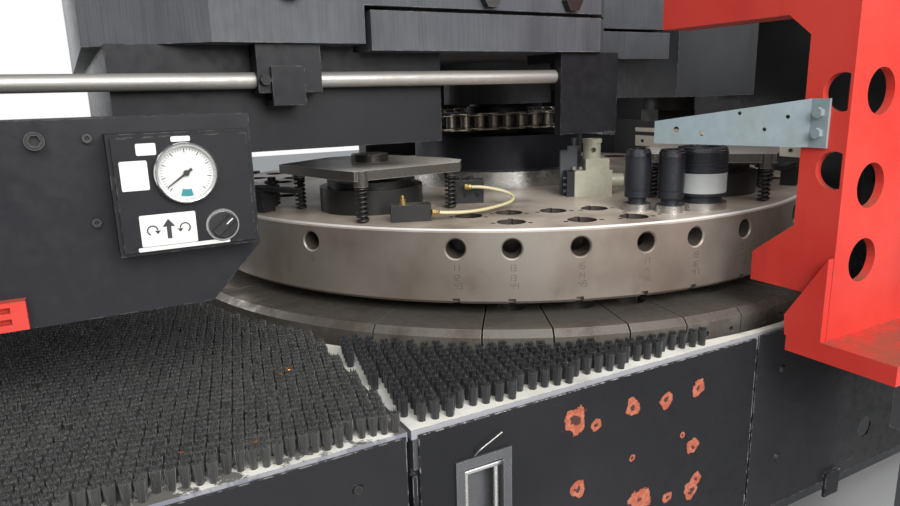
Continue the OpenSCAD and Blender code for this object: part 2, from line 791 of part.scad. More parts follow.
// Press plate with collars, stem and head; s mirrors it.
module ai_plate(a, s) {
    z0 = zt + ai_plate_z - ai_plate_t;
    polar(a, ai_r, 0) mirror([0, s > 0 ? 0 : 1, 0]) {
        difference() {
            union() {
                translate([0, 0, z0]) linear_extrude(height = ai_plate_t) polygon(plate_outline);
                for (q = spring_at) translate([q[0], q[1], z0 - collar_h])
                    cylinder(r = spring_r + 1, h = collar_h + ai_plate_t);
            }
            for (q = spring_at) translate([q[0], q[1], z0 - 20]) cylinder(r = 4.3, h = 60);
        }
        translate([0, 0, zt + 4]) cylinder(r = stem_r, h = z0 - zt);
        translate([0, 0, z0 + ai_plate_t - 0.1]) cylinder(r = ai_head_r, h = 14.1);
    }
}

module ai_plate_left() color(c_steel) ai_plate(ai_angle[0], 1);

module ai_plate_right() color(c_steel) ai_plate(ai_angle[1], -1);

module ai_springs(a, s) {
    h = ai_plate_z - ai_plate_t - collar_h - 2 * seat;
    polar(a, ai_r, zt + seat) mirror([0, s > 0 ? 0 : 1, 0])
        for (q = spring_at) translate([q[0], q[1], 0]) {
            ring(7.5, 4.8, h);
            for (k = [0:7]) translate([0, 0, 2.5 + k * (h - 5) / 7]) rotate_extrude()
                translate([spring_r - 2.2, 0]) circle(r = 2.2, $fn = 24);
        }
}

module ai_springs_left() color(c_black) ai_springs(ai_angle[0], 1);

module ai_springs_right() color(c_black) ai_springs(ai_angle[1], -1);

// Spring pins, stop stacks and the levers beside the rotating stations.
module turret_fittings() color(c_black) {
    for (i = [0, 1]) polar(ai_angle[i], ai_r, zt) mirror([0, i, 0]) {
        for (q = spring_at) translate([q[0], q[1], 0]) cylinder(r = 4, h = ai_plate_z - 2);
        translate([stack_at[0], stack_at[1], 0]) {
            cylinder(r = 8, h = 56);
            for (k = [0:5]) translate([0, 0, 4 + 8 * k]) cylinder(r = 14, h = 5);
        }
        box([104, -176, 0], [134, -146, 40]);
        box([110, -170, 39], [128, -70, 47]);
    }
    translate([-486 * side_k, -430 * side_k, zt]) rotate([0, 0, -21]) {
        cube([66, 30, 28]);
        translate([20, 10, 27.9]) cylinder(r = 5, h = 9);
    }
    translate([-305 * side_k, -325 * side_k, zt]) rotate([0, 0, -25.6]) difference() {
        union() {
            cube([53, 36, 44]);
            for (q = [[8, 18], [30, 22]]) translate([q[0], q[1], 43.9]) cap_screw(6);
        }
        for (q = [[14, 14], [38, 14], [26, 30]]) translate([q[0], 4, q[1]]) rotate([90, 0, 0])
            cylinder(r = 5, h = 5);
    }
}

module valve_block() color(c_zinc) translate([-77, -395, zt]) rotate([0, 0, -28]) {
    cube([73, 48, 51]);
    difference() {
        union() {
            translate([22, 6, 50.9]) cube([46, 36, 22]);
            translate([37, 24, 72]) cylinder(r = 17, h = 32);
            translate([37, 24, 103]) cylinder(r = 19, h = 8);
            translate([-22, 40, 0]) cube([34, 14, 88]);
            translate([-8, 40, 87]) cube([26, 14, 10]);
            translate([6, 47, 96]) cylinder(r = 5, h = 16);
        }
        translate([37, 24, 90]) rotate([90, 0, 0]) cylinder(r = 5, h = 30);
        translate([37, 24, 100]) cylinder(r = 9, h = 20);
    }
    for (q = [[-8, 20], [4, 10]]) translate([q[0] + 12, q[1] + 14, 50.9]) cap_screw(5);
    translate([-15, 3, 0]) cube([15.1, 42, 49]);
    for (z = [10, 23, 36]) translate([-15, 12, z]) rotate([0, -90, 0]) cap_screw(7);
    translate([72.9, 24, 28]) rotate([0, 90, 0]) cylinder(r = 14, h = 26);
}

tube_path = [[-296, -346, 34], [-268, -366, 33], [-240, -388, 26], [-232, -408, 18],
    [-252, -428, 12], [-300, -446, 9], [-350, -458, 9], [-392, -462, 12], [-424, -456, 15]];

// Grease tube: short straight lengths that share their rounded ends.
module lube_tube() color(c_cream)
    for (k = [0:len(tube_path) - 2]) hull()
        for (p = [tube_path[k], tube_path[k + 1]])
            translate([p[0] * side_k, p[1] * side_k, p[2] + zt]) sphere(r = tube_r, $fn = 12);

module lower_turret() color(c_steel) {
    difference() {
        translate([0, 0, z_low]) cylinder(r = turret_r, h = lower_t);
        for (s = all_b) polar(s[0], s[1], z_low - 1) cylinder(r = 17, h = lower_t + 2);
        for (s = all_c) polar(s[0], s[1], z_low - 1) cylinder(r = 34, h = lower_t + 2);
        for (a = ai_angle) polar(a, ai_r, z_low - 1) cylinder(r = 40, h = lower_t + 2);
        polar(index_at, turret_r - index_depth, z_pin_low) rotate([0, 90, 0])
            cylinder(r = index_r, h = index_depth + 1);
        for (a = index_angles) if (a != index_at) polar(a, turret_r - index_depth, z_pin_low)
            rotate([0, 90, 0]) cylinder(r = index_r, h = index_depth + 1);
    }
    translate([0, 0, z_low_top]) cylinder(r = 300, h = 30);
    translate([0, 0, z_low - 47]) cylinder(r = hub_r, h = 47.1);
    translate([0, 0, sill_z + 12]) cylinder(r = shaft_r, h = z_low - sill_z);
    translate([0, 0, z_chain_low - sprocket_half]) sprocket_disc(pitch_big, teeth_big);
}

module die_holders() color(c_bright) difference() {
    rotate_extrude() polygon([[holder_in, z_low_top], [holder_r, z_low_top],
        [holder_r, pass_h - 10], [holder_r - 10, pass_h], [holder_in, pass_h]]);
    for (a = holder_cuts) rotate([0, 0, a]) box([holder_in - 10, -holder_gap / 2, z_low_top - 1],
        [holder_r + 10, holder_gap / 2, pass_h + 1]);
    station_cuts(pass_h - die_h, die_h + 1);
    station_cuts(z_low_top - 1, holder_h, 6);
    for (a = ai_angle) polar(a, ai_r, pass_h - 45) cylinder(r = spigot_r + fit_run, h = 50);
    for (a = ai_angle) polar(a, ai_r, z_low_top - 1) cylinder(r = 44, h = 50);
    for (a = front_index, s = [-1, 1]) rotate([0, 0, a + 1.9 * s])
        translate([holder_r - 12, 0, pass_h - 30]) rotate([0, 90, 0]) cylinder(r = 5, h = 20);
}

module die_set() color(c_steel) {
    for (s = b_tools) polar(s[0], s[1], pass_h - die_h) ring(b_bore_r - fit_slide, 8, die_h - 0.2);
    polar(c_tool[0], c_tool[1], pass_h - die_h) ring(c_bore_r - fit_slide, 20, die_h - 0.2);
    for (a = ai_angle) polar(a, ai_r, pass_h - 45) ring(spigot_r - fit_slide, 20, 44.8);
}

module drive_sprockets() color(c_steel) translate([-drive_x, 0, 0]) {
    translate([0, 0, z_chain - sprocket_half]) sprocket_disc(pitch_small, teeth_small);
    translate([0, 0, z_chain - 14]) cylinder(r = 20, h = 96);
    translate([0, 0, z_chain_low - sprocket_half]) sprocket_disc(pitch_small, teeth_small);
    translate([0, 0, sill_z + 20]) cylinder(r = 20, h = z_chain_low + 12 - sill_z - 20);
}

// Side frame on the tool change side, its end web facing the turret.
module side_frame() {
    t = base_t;
    web = [[-759, -92], [-759, -47], [-817, -1], [side_in, 4], [side_in, 271], [-767, 317],
        [arm_end, 317], [arm_end, 437], [side_out, 437], [side_out, -92]];
    translate([0, 0, zt]) difference() {
        union() {
            yz_prism(web, base_x, t);
            yz_prism([[-889, -33], [-830, -129], [-833, -160], [-889, -160]], base_x - t, t + 0.1);
            box([base_x, side_out, -183], [760, side_out + t, 437]);
            box([base_x - t, foot_out, -183], [760, -836, -155]);
            box([base_x, side_out, 437 - t], [beam_x[0], -760, 437]);
            box([base_x, side_out, 300], [base_x + 60, arm_end, 317]);
            for (x = [360, 748]) box([x, side_out, -183], [x + t, side_in, 437]);
            box([700, side_out, 437 - 330], [beam_x[0], -760, 437]);
        }
        for (z = [193, 88]) intersection() {
            translate([base_x - 1, side_out + web_hole_in, z]) rotate([0, 90, 0])
                cylinder(r = web_hole_r, h = t + 1);
            box([base_x - 1, side_out + web_wall, z - 40], [base_x + t, side_in, z + 40]);
        }
        for (z = [193, 64, -44]) translate([base_x + 66, side_out - 1, z]) rotate([-90, 0, 0])
            cylinder(r = 32, h = t + 2);
        for (x = [102, 300, 520]) translate([x, -886 - 60, -184]) cylinder(r = 13, h = 40);
        for (x = [200, 500]) translate([x, side_out - 1, 120]) rotate([-90, 0, 0])
            cylinder(r = 70, h = t + 2);
    }
}

// Side frame with the shoes that run on the base rails.
module side_frame_on_shoes() {
    side_frame();
    for (x = [240, 640]) difference() {
        box([x, -965, base_z0 - 28], [x + 80, -895, base_z0 + 1]);
        box([x - 1, -930 - 17 - fit_slide, base_z0 - 29],
            [x + 81, -930 + 17 + fit_slide, base_z0 - 12 + fit_slide]);
    }
}

module carriage_base() color(c_red) side_frame_on_shoes();

// Cross beam, its cover and the side frame on the far side.
module carriage_beam() color(c_black) {
    mirror([0, 1, 0]) side_frame_on_shoes();
    box([beam_x[0], -beam_y, zt - 103], [beam_x[1], beam_y, base_z1]);
    box([beam_x[0] + 10, -beam_y + 20, base_z1 - 1], [beam_x[1] - 10, beam_y - 20, base_z1 + 40]);
}

// Rails of the carriage base on their beams, outside the tables.
module base_rails() color(c_frame) mirror_y() {
    box([220, -990, base_z0 - 180], [2560, -870, base_z0 - 40]);
    box([225, -947, base_z0 - 41], [2555, -913, base_z0 - 12]);
    for (x = [260, 1380, 2420]) box([x, -985, 0], [x + 100, -875, base_z0 - 179]);
    for (x = [1390, 2430]) box([x, -876, tie_z], [x + 80, -frame_y, tie_z + 120]);
}

module carriage_rails() color(c_bright)
    for (z = [rail_z0, rail_z1])
        box([850, -beam_y + 20, z - 15], [beam_x[0], beam_y - 20, z + 15]);

// Galvanised plate bolted to the end web, bent back over the turret rim.
module sensor_bracket() color(c_zinc) translate([0, 0, zt]) {
    box([base_x - 4, -863, 118], [base_x, -832, 185]);
    translate([base_x, -836, 0]) rotate([0, 0, 112.2]) translate([0, 4, 0]) difference() {
        rotate([90, 0, 0]) linear_extrude(height = 4)
            polygon([[0, 118], [225, 118], [225, 153], [0, 185]]);
        for (q = [[150, 135, 4], [60, 142, 3], [96, 165, 3], [30, 160, 3], [190, 140, 5]])
            translate([q[0], 1, q[1]]) rotate([90, 0, 0]) cylinder(r = q[2], h = 6);
    }
    for (z = [138, 166]) translate([base_x - 4, -850, z]) rotate([0, -90, 0]) hex_head(13, 7);
}

// Carriage with its two workholders, on the near face of the cross beam.
module sheet_carriage() color(c_black) {
    difference() {
        union() {
            box([796, -450, pass_h + 30], [840, 450, zt + 100]);
            for (y = jaw_at) {
                box([800, y - 35, pass_h - 16], [839, y + 35, pass_h + 60]);
                box([765, y - 30, pass_h - 16], [801, y + 30, pass_h - seat]);
            }
        }
        for (y = jaw_at) {
            box([790, y - 20.5, pass_h - seat], [832, y + 20.5, pass_h + 66]);
            translate([jaw_pivot[0], y - 40, jaw_pivot[1]]) rotate([-90, 0, 0])
                cylinder(r = 6 + fit_run, h = 80);
        }
    }
    for (z = [rail_z0, rail_z1], y = [-360, 290]) difference() {
        box([839, y, z - 30], [864, y + 70, z + 30]);
        box([850 - fit_slide, y - 1, z - 15 - fit_slide], [865, y + 71, z + 15 + fit_slide]);
    }
}

// Upper jaw on its pivot pin.
module jaw(y) {
    translate([0, y + 19.5, 0]) difference() {
        xz_prism([[767, pass_h + 8], [797, pass_h + 12], [805, pass_h + 30],
            [824, pass_h + 30], [824, pass_h + 54], [800, pass_h + 54], [786, pass_h + 34],
            [767, pass_h + 22]], 0, 39);
    }
    translate([jaw_pivot[0], y - 34, jaw_pivot[1]]) rotate([-90, 0, 0]) cylinder(r = 6, h = 68);
}

module jaw_front() color(c_steel) jaw(jaw_at[0]);

module jaw_rear() color(c_steel) jaw(jaw_at[1]);

bridge_frame();
floor_pads();
upper_slab();
screws();
drive_housing();
front_hanger();
guard_rail();
rail_bracket();
control_arm();
slot_block();
control_box();
label_plates();
pressure_gauge();
gauge_needle();
selector_knob();
bearings();
gearmotors();
drive_chains();
ram_housing();
ram();
die_anvil();
index_brackets();
index_pins();
centre_table();
left_table();
brush_tufts();
table_frame();
aprons();
access_door();
handle_dish();
handle_bail();
upper_turret();
hub_flange();
hub_neck();
upper_sprocket();
tool_guides();
tool_one();
tool_two();
tool_three();
ai_drum_left();
ai_drum_right();
ai_plate_left();
ai_plate_right();
ai_springs_left();
ai_springs_right();
turret_fittings();
valve_block();
lube_tube();
lower_turret();
die_holders();
die_set();
drive_sprockets();
carriage_base();
carriage_beam();
sensor_bracket();
base_rails();
carriage_rails();
sheet_carriage();
jaw_front();
jaw_rear();
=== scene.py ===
"""Dresses the turret punch press: finishes, small parts and the bristle tables.

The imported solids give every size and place. Lengths are metres in the part's own frame:
+Z up along the turret axis, +X along the front apron, -Y to the tool change side.
"""

from __future__ import annotations

import logging
import math
import random
from dataclasses import dataclass, field
from enum import Enum
from typing import Iterable, Sequence

import bmesh
import bpy
import numpy as np
from mathutils import Matrix, Vector


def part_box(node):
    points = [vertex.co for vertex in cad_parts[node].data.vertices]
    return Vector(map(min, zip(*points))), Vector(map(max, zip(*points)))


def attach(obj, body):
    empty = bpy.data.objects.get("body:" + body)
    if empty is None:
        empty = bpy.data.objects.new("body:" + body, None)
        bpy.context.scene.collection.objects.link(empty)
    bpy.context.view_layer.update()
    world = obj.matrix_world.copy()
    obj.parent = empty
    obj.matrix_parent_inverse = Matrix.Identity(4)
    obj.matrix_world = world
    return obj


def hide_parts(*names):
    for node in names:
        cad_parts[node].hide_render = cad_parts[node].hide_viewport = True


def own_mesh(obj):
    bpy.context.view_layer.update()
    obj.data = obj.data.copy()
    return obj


LOG = logging.getLogger("punch_press")
Colour = tuple[float, float, float]
Point = tuple[float, float, float]
Flat = tuple[float, float]
Socket = bpy.types.NodeSocket
Marked = tuple[Socket, "Socket | float"]
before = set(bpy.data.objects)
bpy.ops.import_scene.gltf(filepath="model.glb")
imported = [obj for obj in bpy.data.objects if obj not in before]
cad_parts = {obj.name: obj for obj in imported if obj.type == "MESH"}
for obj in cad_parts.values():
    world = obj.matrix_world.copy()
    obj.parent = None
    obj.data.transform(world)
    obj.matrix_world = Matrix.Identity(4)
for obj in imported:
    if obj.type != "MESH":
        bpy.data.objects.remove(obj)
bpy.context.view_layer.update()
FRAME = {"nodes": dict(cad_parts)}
TURRET_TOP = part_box("upper_turret")[1].z
PLATE_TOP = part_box("left_table")[1].z
INDEX_LEVEL = TURRET_TOP - 0.031
NUMBER_LEVEL = TURRET_TOP - 0.061
CORE = 0.0002  # the radius at which the outline of a turned body meets its axis
QUARTER = math.radians(90)
SHARP = math.radians(40)  # the least angle of an edge that is rounded
PARALLEL = 0.98  # above this a pipe runs along its own side vector, and takes another


class Body(Enum):
    """The rigid bodies that new pieces ride on."""

    FRAME = "machine_frame"
    TURRET = "punch_turret"
    CARRIAGE = "carriage"
    DOOR = "door"
    SELECTOR = "selector"
    PUNCH_ONE = "punch_one"
    PUNCH_TWO = "punch_two"
    PUNCH_THREE = "punch_three"


class Grain(Enum):
    """How the fine marks of a finish run."""

    EVEN = (1.0, 1.0, 1.0)
    ALONG_X = (0.04, 1.0, 1.0)
    FLAT = (1.0, 1.0, 0.12)


def tinted(colour: Colour, factor: float, lift: float = 0.0, most: float = 1.0) -> Colour:
    """A colour times a factor, plus a lift, up to a limit."""
    return tuple(min(most, factor * c + lift) for c in colour)


class NodeWeb:
    """Builds the node tree of one material, one small step at a time."""

    def __init__(self, name: str) -> None:
        """Starts the tree.

        Args:
            name: the finish's name.
        """
        self.material = bpy.data.materials.new(f"{name}_finish")
        self.material.use_nodes = True
        self.tree = self.material.node_tree
        self.tree.nodes.clear()
        self.shader = self.node("BsdfPrincipled")
        self.node("OutputMaterial", Surface=self.shader.outputs[0])
        self.place = self.node("TexCoord").outputs["Object"]

    def node(self, kind: str, **inputs: object) -> bpy.types.Node:
        """Adds a node.

        Args:
            kind: its kind.
            inputs: numbers, colours or sockets by the name of the input.

        Returns:
            The node.
        """
        node = self.tree.nodes.new(f"ShaderNode{kind}")
        for name, value in inputs.items():
            self.feed(node, name, value)
        return node

    def feed(self, node: bpy.types.Node, index: int | str, value: object) -> None:
        """Sets or links one input of a node.

        Args:
            node: the node.
            index: the input's number or name.
            value: a number, a colour or the socket that feeds it.
        """
        socket = node.inputs[index]
        if isinstance(value, Socket):
            self.tree.links.new(value, socket)
        elif isinstance(value, tuple) and len(socket.default_value) == 4:
            socket.default_value = (*value, 1.0)
        else:
            socket.default_value = value

    def set(self, name: str, value: object) -> None:
        """Sets or links one input of the shader."""
        self.feed(self.shader, name, value)

    def maths(self, kind: str, a: object, b: object = 0.0) -> Socket:
        """One sum of two inputs.

        Args:
            kind: the operation.
            a: the first input.
            b: the second input.

        Returns:
            The result.
        """
        node = self.node("Math")
        node.operation = kind
        self.feed(node, 0, a)
        self.feed(node, 1, b)
        return node.outputs[0]

    def times(self, a: object, b: object) -> Socket:
        """One value times another."""
        return self.maths("MULTIPLY", a, b)

    def plus(self, a: object, b: object) -> Socket:
        """One value plus another."""
        return self.maths("ADD", a, b)

    def minus(self, a: object, b: object) -> Socket:
        """One value minus another."""
        return self.maths("SUBTRACT", a, b)

    def length(self, a: object, b: object) -> Socket:
        """The distance that two sides at a right angle span."""
        return self.maths("SQRT", self.plus(self.times(a, a), self.times(b, b)))

    def stretch(self, scale: Point) -> Socket:
        """The place, stretched by a factor along each axis."""
        return self.node("Mapping", Vector=self.place, Scale=scale).outputs[0]

    def axes(self) -> tuple[Socket, ...]:
        """The place split in X, Y and Z."""
        return tuple(self.node("SeparateXYZ", Vector=self.place).outputs)

    def polar(self) -> Socket:
        """Radius, turn and height about the turret axis, for marks left by turning.

        Returns:
            The vector.
        """
        x, y, z = self.axes()
        turn = self.times(self.maths("ARCTAN2", y, x), 0.03)
        return self.node("CombineXYZ", X=self.length(x, y), Y=turn, Z=z).outputs[0]

    def tilt(self) -> Socket:
        """The upward part of the surface's normal."""
        normal = self.node("NewGeometry").outputs["Normal"]
        return self.node("SeparateXYZ", Vector=normal).outputs[2]

    def upward(self) -> Socket:
        """How far a surface faces up, from 0 to 1."""
        return self.step(self.tilt(), 0.35, 0.95)

    def noise(self, scale: float, detail: float = 3.0, rough: float = 0.55,
              at: Socket | None = None) -> Socket:
        """A noise value: cycles a metre, octaves, strength of the fine ones, and where."""
        return self.node("TexNoise", Vector=at or self.place, Scale=scale, Detail=detail,
                         Roughness=rough).outputs[0]

    def step(self, value: Socket, low: float, high: float, to_low: float = 0.0,
             to_high: float = 1.0) -> Socket:
        """Maps a value smoothly from one range to another.

        Args:
            value: the value.
            low: where the result starts to change.
            high: where it ends.
            to_low: the result at low.
            to_high: the result at high.

        Returns:
            The result.
        """
        node = self.node("MapRange")
        node.interpolation_type = "SMOOTHSTEP"
        for i, fed in enumerate((value, low, high, to_low, to_high)):
            self.feed(node, i, fed)
        return node.outputs[0]

    def blend(self, share: object, a: object, b: object) -> Socket:
        """Mixes two colours.

        Args:
            share: how much of b.
            a: the first colour.
            b: the second colour.

        Returns:
            The colour.
        """
        node = self.node("Mix")
        node.data_type = "RGBA"
        for i, fed in ((0, share), (6, a), (7, b)):
            self.feed(node, i, fed)
        return node.outputs[2]

    def edges(self, radius: float) -> Socket:
        """A mask of the outer edges, found from a rounded normal.

        Args:
            radius: the width of the edge in metres.

        Returns:
            The factor.
        """
        rounded = self.node("Bevel", Radius=radius)
        rounded.samples = 4
        dot = self.node("VectorMath")
        dot.operation = "DOT_PRODUCT"
        self.feed(dot, 0, rounded.outputs[0])
        self.feed(dot, 1, self.node("NewGeometry").outputs["Normal"])
        return self.step(dot.outputs["Value"], 0.97, 0.80)

    def relief(self, height: Socket, strength: float, depth: float) -> None:
        """Bumps the surface by a height field, with a strength and a depth in metres."""
        bump = self.node("Bump", Strength=strength, Distance=depth, Height=height)
        self.set("Normal", bump.outputs[0])


@dataclass(frozen=True)
class Finish:
    """What every finish shares: its name and how it is kept for reuse."""

    name: str

    def make(self) -> bpy.types.Material:
        """The material, built once.

        Returns:
            The material.
        """
        found = bpy.data.materials.get(f"{self.name}_finish")
        if not found:
            web = NodeWeb(self.name)
            self.weave(web)
            found = web.material
        return found

    def weave(self, web: NodeWeb) -> None:
        """Builds the node tree. Each kind of finish has its own way."""
        raise NotImplementedError


@dataclass(frozen=True)
class Paint(Finish):
    """Sprayed paint with dust on what faces up, dirt, and chips along the edges."""

    colour: Colour
    faded: Colour
    chip: Colour = (0.30, 0.28, 0.26)
    dust: Colour = (0.34, 0.32, 0.29)
    dustiness: float = 0.3
    roughness: float = 0.42
    chipping: float = 0.5
    grime: float = 0.35
    gloss: float = 0.28

    def weave(self, web: NodeWeb) -> None:
        """Builds the paint.

        Args:
            web: the node tree.
        """
        cloud = web.noise(3.1, 5.0, 0.6)
        fine = web.noise(60.0, 4.0, 0.65)
        colour = web.blend(web.step(cloud, 0.35, 0.68), self.colour, self.faded)
        streak = web.noise(9.0, 4.0, 0.6, web.stretch((1.0, 1.0, 0.16)))
        dirt = web.times(web.step(streak, 0.50, 0.72), self.grime)
        colour = web.blend(dirt, colour, tinted(self.colour, 0.32, 0.006))
        dust = web.times(web.times(web.upward(), self.dustiness),
                         web.step(web.noise(17.0, 5.0, 0.7), 0.32, 0.66))
        colour = web.blend(dust, colour, self.dust)
        flakes = web.step(web.noise(85.0, 3.0, 0.6), 0.56 - 0.12 * self.chipping,
                          0.64 - 0.08 * self.chipping)
        scratch = web.step(web.noise(150.0, 2.0, 0.5, web.stretch((0.09, 0.5, 1.0))), 0.70, 0.76)
        worn = web.times(scratch, web.step(cloud, 0.55, 0.75))
        chips = web.maths("MAXIMUM", web.times(web.edges(0.0025), flakes),
                          web.times(worn, 0.6 * self.chipping))
        colour, lift = self.patches(web, web.blend(chips, colour, self.chip))
        web.set("Base Color", colour)
        web.set("Specular IOR Level", self.gloss)
        web.set("Roughness", web.step(web.plus(fine, dust), 0.3, 1.1,
                                      self.roughness - 0.08, self.roughness + 0.30))
        height = web.minus(web.times(fine, 0.25), chips)
        web.relief(web.minus(height, lift), 0.35, 0.0008)

    def patches(self, web: NodeWeb, colour: Socket) -> Marked:
        """The colour with local marks, and how deep they cut. Plain paint has none."""
        return colour, 0.0


@dataclass(frozen=True)
class PeeledPaint(Paint):
    """Paint that has come off in round spots, down to a primer."""

    spots: tuple[Point, ...] = ()
    under: Colour = (0.36, 0.085, 0.045)
    under_pale: Colour = (0.46, 0.150, 0.090)
    heart: Colour = (0.030, 0.020, 0.018)

    def patches(self, web: NodeWeb, colour: Socket) -> Marked:
        """Shows the primer in each spot, with a ragged rim and a bare middle.

        Args:
            web: the node tree.
            colour: the paint's colour.

        Returns:
            The colour with its marks, and how deep they cut.
        """
        x, _, z = web.axes()
        warp = web.step(web.noise(46.0, 4.0, 0.65), 0.3, 0.7, -0.30, 0.30)
        cover: Socket | float = 0.0
        for spot_x, spot_z, radius in self.spots:
            far = web.length(web.minus(x, spot_x), web.minus(z, spot_z))
            near = web.minus(1.0, web.maths("DIVIDE", far, radius))
            cover = web.maths("MAXIMUM", cover, web.plus(near, warp))
        mask = web.step(cover, 0.02, 0.10)
        primer = web.blend(web.step(web.noise(130.0, 4.0, 0.7), 0.42, 0.62), self.under,
                           self.under_pale)
        primer = web.blend(web.step(cover, 0.60, 0.68, 0.0, 0.9), primer, self.heart)
        return web.blend(mask, colour, primer), web.times(mask, 0.5)


@dataclass(frozen=True)
class TableEnamel(Paint):
    """Cream enamel of the tables: grey edges, and a dirty margin on the left table."""

    side: Colour = (0.21, 0.215, 0.25)
    dirt: Colour = (0.060, 0.054, 0.050)
    split: float = -0.630

    def patches(self, web: NodeWeb, colour: Socket) -> Marked:
        """Greys the edges and dirties the left table in ragged patches.

        Args:
            web: the node tree.
            colour: the paint's colour.

        Returns:
            The colour with its marks, and how deep they cut.
        """
        left = web.step(web.axes()[0], self.split + 0.001, self.split - 0.001)
        ragged = web.step(web.noise(21.0, 5.0, 0.72), 0.44, 0.50)
        colour = web.blend(web.times(web.times(left, ragged), 0.88), colour, self.dirt)
        edge = web.times(web.minus(1.0, web.upward()), 0.85)
        return web.blend(edge, colour, self.side), 0.0


@dataclass(frozen=True)
class FlameCut(Paint):
    """Painted thick plate whose upright edges keep the lines of the cutting flame."""

    pitch: float = 330.0

    def patches(self, web: NodeWeb, colour: Socket) -> Marked:
        """Darkens and cuts fine upright lines into the edges.

        Args:
            web: the node tree.
            colour: the paint's colour.

        Returns:
            The colour with its marks, and how deep they cut.
        """
        lines = web.noise(self.pitch, 2.0, 0.5, web.stretch((1.0, 1.0, 0.03)))
        cut = web.times(web.step(lines, 0.42, 0.66), web.minus(1.0, web.upward()))
        dark = web.blend(web.times(cut, 0.22), colour, tinted(self.colour, 0.4))
        return dark, web.times(cut, 0.35)


@dataclass(frozen=True)
class Steel(Finish):
    """Bare steel, ground or turned: oil film, stains, bright edges, painted highlight on top,
    painted shade on sides.
    """

    colour: Colour
    stain: Colour
    roughness: float = 0.34
    staining: float = 0.5
    grain: Grain = Grain.EVEN
    turned: bool = False
    bright_edges: float = 0.4
    metallic: float = 0.9
    cloud: float = 4.3
    # top: the lighter colour of upward faces, a painted highlight
    top: Colour | None = None
    # sides: how far side faces are darkened, painted shade
    sides: float = 0.0

    def weave(self, web: NodeWeb) -> None:
        """Builds the steel.

        Args:
            web: the node tree.
        """
        lines_at = web.polar() if self.turned else web.stretch(self.grain.value)
        lines = web.noise(620.0 if self.turned else 420.0, 3.0, 0.6, lines_at)
        drops = web.noise(38.0, 5.0, 0.7)
        film = web.plus(web.times(web.noise(self.cloud, 6.0, 0.62), 0.7), web.times(drops, 0.3))
        stained = web.times(web.step(film, 0.42, 0.62), self.staining)
        colour = web.blend(stained, self.colour, self.stain)
        up = web.upward()
        # Painted highlight: upward faces take the lighter top colour.
        if self.top:
            pale = web.blend(web.times(stained, 0.7), self.top, self.stain)
            colour = web.blend(up, colour, pale)
        # Painted shade: side faces are darkened towards the stain colour.
        if self.sides:
            shadow = web.times(web.minus(1.0, up), self.sides)
            colour = web.blend(shadow, colour, tinted(self.stain, 0.2))
        colour = web.blend(web.step(lines, 0.35, 0.75, 0.0, 0.28), colour,
                           tinted(self.colour, 0.55))
        pits = web.step(web.noise(210.0, 2.0, 0.5), 0.70, 0.78, 0.0, 0.6)
        colour = web.blend(pits, colour, tinted(self.stain, 0.35))
        edge = web.times(web.edges(0.0015), self.bright_edges)
        web.set("Base Color", web.blend(edge, colour, tinted(self.colour, 1.5, 0.12, 0.85)))
        shine = web.minus(1.0, web.times(up, 0.85 if self.top else 0.0))
        web.set("Metallic", web.times(shine, self.metallic))
        web.set("Roughness", web.step(web.plus(stained, web.times(lines, 0.5)), 0.1, 1.1,
                                      self.roughness - 0.07, self.roughness + 0.26))
        web.relief(web.plus(lines, web.times(drops, 0.6)), 0.16, 0.0005)


@dataclass(frozen=True)
class DiscSteel(Steel):
    """Ground disc steel: a matt top, painted light on top and rim, painted shade in bores and
    holes.
    """

    reach: float = 0.682
    hole: float = 0.0165
    mottle: Colour = (0.10, 0.075, 0.055)
    # edge: the colour of the painted highlight on the rim chamfer
    edge: Colour = (0.90, 0.89, 0.86)

    def weave(self, web: NodeWeb) -> None:
        """Builds the disc's steel.

        Args:
            web: the node tree.
        """
        tilt = web.tilt()
        up = web.step(tilt, 0.35, 0.95)
        cloud = web.noise(self.cloud, 4.0, 0.52)
        stained = web.times(web.step(cloud, 0.40, 0.68), self.staining)
        # Painted light: upward faces take the lighter top colour.
        colour = web.blend(stained, web.blend(up, self.colour, self.top), self.stain)
        spots = web.step(web.noise(2.6 * self.cloud, 3.0, 0.7), 0.62, 0.80, 0.0, 0.30)
        colour = web.blend(spots, colour, self.mottle)
        x, y, height = web.axes()
        radius = web.length(x, y)
        # Painted highlight: the rim chamfer takes the pale edge colour.
        rim = web.times(web.step(radius, 0.6845, 0.6850),
                        web.step(height, TURRET_TOP - 0.0030, TURRET_TOP - 0.0024))
        colour = web.blend(web.times(rim, 0.85), colour, self.edge)
        # Painted shade: the bore walls and the row of index holes are darkened.
        walls = web.times(web.step(web.maths("ABSOLUTE", tilt), 0.5, 0.3),
                          web.step(radius, self.reach, self.reach - 0.004))
        low, high, soft = INDEX_LEVEL - self.hole, INDEX_LEVEL + self.hole, 0.0006
        row = web.times(web.step(height, low - soft, low), web.step(height, high + soft, high))
        holes = web.times(web.step(radius, 0.6886, 0.6872), row)
        inner = web.times(web.maths("MAXIMUM", walls, holes), 0.9)
        web.set("Base Color", web.blend(inner, colour, tinted(self.stain, 0.16)))
        dull = web.maths("MAXIMUM", inner, web.times(up, 0.85))
        web.set("Metallic", web.times(web.minus(1.0, dull), self.metallic))
        web.set("Roughness", web.step(cloud, 0.2, 0.8, self.roughness - 0.06,
                                      self.roughness + 0.16))


@dataclass(frozen=True)
class Moulded(Finish):
    """Plastic, rubber or bristle: an even colour with a fine texture."""

    colour: Colour
    pale: Colour
    roughness: float = 0.45
    texture: float = 240.0
    depth: float = 0.0003
    sheen: float = 0.0

    def weave(self, web: NodeWeb) -> None:
        """Builds the plastic.

        Args:
            web: the node tree.
        """
        fine = web.noise(self.texture, 3.0, 0.6)
        cloud = web.noise(12.0, 4.0, 0.6)
        web.set("Base Color", web.blend(web.step(cloud, 0.4, 0.72), self.colour, self.pale))
        web.set("Roughness", web.step(fine, 0.3, 0.75, self.roughness - 0.06,
                                      self.roughness + 0.12))
        web.set("Sheen Weight", self.sheen)
        web.relief(fine, 0.3, self.depth)


